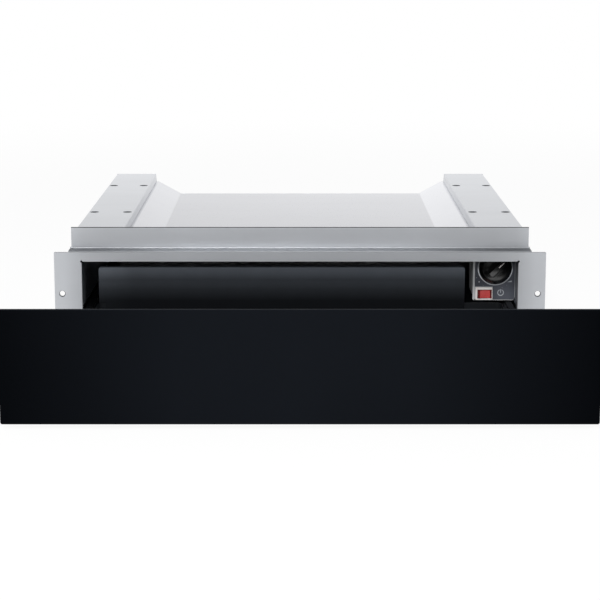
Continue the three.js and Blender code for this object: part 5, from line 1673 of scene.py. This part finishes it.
@dataclass
class Studio:
    """Floor, world, lamps and the camera at the photograph's viewing angle."""

    camera_place: Point = (0.0, -2.4362, 0.4837)
    pitch: float = 11.319
    lens: float = 110.22
    sensor: float = 36.0
    white: Paint = (1.0, 1.0, 1.0, 1.0)
    floor_colour: Paint = (0.86, 0.86, 0.86, 1.0)
    floor_level: float = -0.0005
    floor_half: float = 30.0
    floor_white: float = 0.92
    floor_gloss: float = 0.62
    ambient: float = 0.5
    aim: Point = (0.0, -0.3, 0.08)
    near: float = 0.9
    far: float = 2.6
    lamps: tuple[Lamp, ...] = (
        Lamp("top_lamp", (-0.5, -0.9, 2.6), 1.8, 14.0),
        Lamp("left_lamp", (-2.4, -2.4, 0.8), 1.2, 6.0),
        Lamp("right_lamp", (2.4, -2.4, 0.8), 1.2, 5.0),
        Lamp("key_lamp", (-0.55, -2.5, 1.85), 0.5, 40.0, mirrored=True),
        Lamp("front_lamp", (-0.35, -3.5, 0.95), 0.6, 40.0),
    )

    def floor(self) -> None:
        """Pale floor that shows white to the camera and keeps the object's shadow."""
        clear_selection()
        bpy.ops.mesh.primitive_plane_add(size=2 * self.floor_half, location=(0.0, 0.0, self.floor_level))
        plane = bpy.context.object
        plane.name = "studio_floor"
        material = bpy.data.materials.new("studio_floor")
        material.use_nodes = True
        graph = Graph(material.node_tree)
        matt = graph.tree.nodes["Principled BSDF"]
        graph.fill(
            matt, {"Base Color": self.floor_colour, "Roughness": 0.9, "Specular IOR Level": 0.0}
        )
        ray = graph.add("LightPath").outputs
        eye = graph.maths("MULTIPLY", ray["Is Camera Ray"], self._reach(graph, self.floor_white))
        mirror = graph.maths("MAXIMUM", ray["Is Glossy Ray"], ray["Is Transmission Ray"])
        shine = graph.maths("MULTIPLY", mirror, self._reach(graph, self.floor_gloss))
        glow = graph.add("Emission").outputs["Emission"]
        share = graph.maths("MAXIMUM", eye, shine)
        mix = graph.add("MixShader", {"Fac": share, 1: matt.outputs["BSDF"], 2: glow})
        graph.fill(graph.tree.nodes["Material Output"], {"Surface": mix.outputs["Shader"]})
        plane.data.materials.append(material)

    def _reach(self, graph: Graph, share: float) -> Socket:
        """A share near the object that rises to 1 far out, so that no horizon shows.

        Args:
            graph: The floor's nodes.
            share: The share near the object.

        Returns:
            The share's socket.
        """
        place = graph.add("TexCoord").outputs["Object"]
        away = graph.add("VectorMath", {0: place}, operation="LENGTH").outputs["Value"]
        span = {"Value": away, "From Min": self.near, "From Max": self.far, "To Min": share}
        rise = graph.add("MapRange", span, interpolation_type="SMOOTHSTEP")
        return rise.outputs["Result"]

    def world(self) -> None:
        """White to the camera and in reflections, plain grey light elsewhere."""
        world = bpy.data.worlds.new("studio_world")
        bpy.context.scene.world = world
        world.use_nodes = True
        graph = Graph(world.node_tree)
        plain = graph.tree.nodes["Background"]
        graph.fill(plain, {"Color": self.white, "Strength": self.ambient})
        white = graph.add("Background", {"Color": self.white, "Strength": 1.0})
        ray = graph.add("LightPath").outputs
        seen = graph.maths("MAXIMUM", ray["Is Camera Ray"], ray["Is Glossy Ray"])
        seen = graph.maths("MAXIMUM", seen, ray["Is Transmission Ray"])
        mix = graph.add(
            "MixShader",
            {"Fac": seen, 1: plain.outputs["Background"], 2: white.outputs["Background"]},
        )
        graph.fill(graph.tree.nodes["World Output"], {"Surface": mix.outputs["Shader"]})

    def light(self, lamp: Lamp) -> None:
        """Puts up a lamp.

        Args:
            lamp: The lamp.
        """
        data = bpy.data.lights.new(lamp.name, "AREA")
        data.shape = "SQUARE"
        data.size = lamp.size
        data.energy = lamp.power
        piece = bpy.data.objects.new(lamp.name, data)
        bpy.context.scene.collection.objects.link(piece)
        piece.location = lamp.place
        aim = Vector(self.aim) - Vector(lamp.place)
        piece.rotation_euler = aim.to_track_quat("-Z", "Y").to_euler()
        piece.visible_glossy = lamp.mirrored

    def camera(self) -> None:
        """Camera in front of the drawer, tipped down at it, with no shift."""
        data = bpy.data.cameras.new("studio_camera")
        data.lens = self.lens
        data.sensor_width = self.sensor
        camera = bpy.data.objects.new("studio_camera", data)
        bpy.context.scene.collection.objects.link(camera)
        camera.location = self.camera_place
        camera.rotation_euler = (math.radians(90.0 - self.pitch), 0.0, 0.0)
        bpy.context.scene.camera = camera

    def build(self) -> None:
        """Sets up the studio."""
        bpy.context.scene.view_settings.view_transform = "Standard"
        self.floor()
        self.world()
        for lamp in self.lamps:
            self.light(lamp)
        self.camera()


def main() -> None:
    """Builds the studio and every sub-assembly."""
    logging.basicConfig(level=logging.INFO, format="%(message)s")
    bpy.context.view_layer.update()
    Studio().build()
    for assembly in (Housing(), ControlPanel(), FrontPanel(), Tray(), Slides(), RearBay()):
        LOG.info("building %s", type(assembly).__name__)
        assembly.build()


if __name__ == "__main__":
    main()
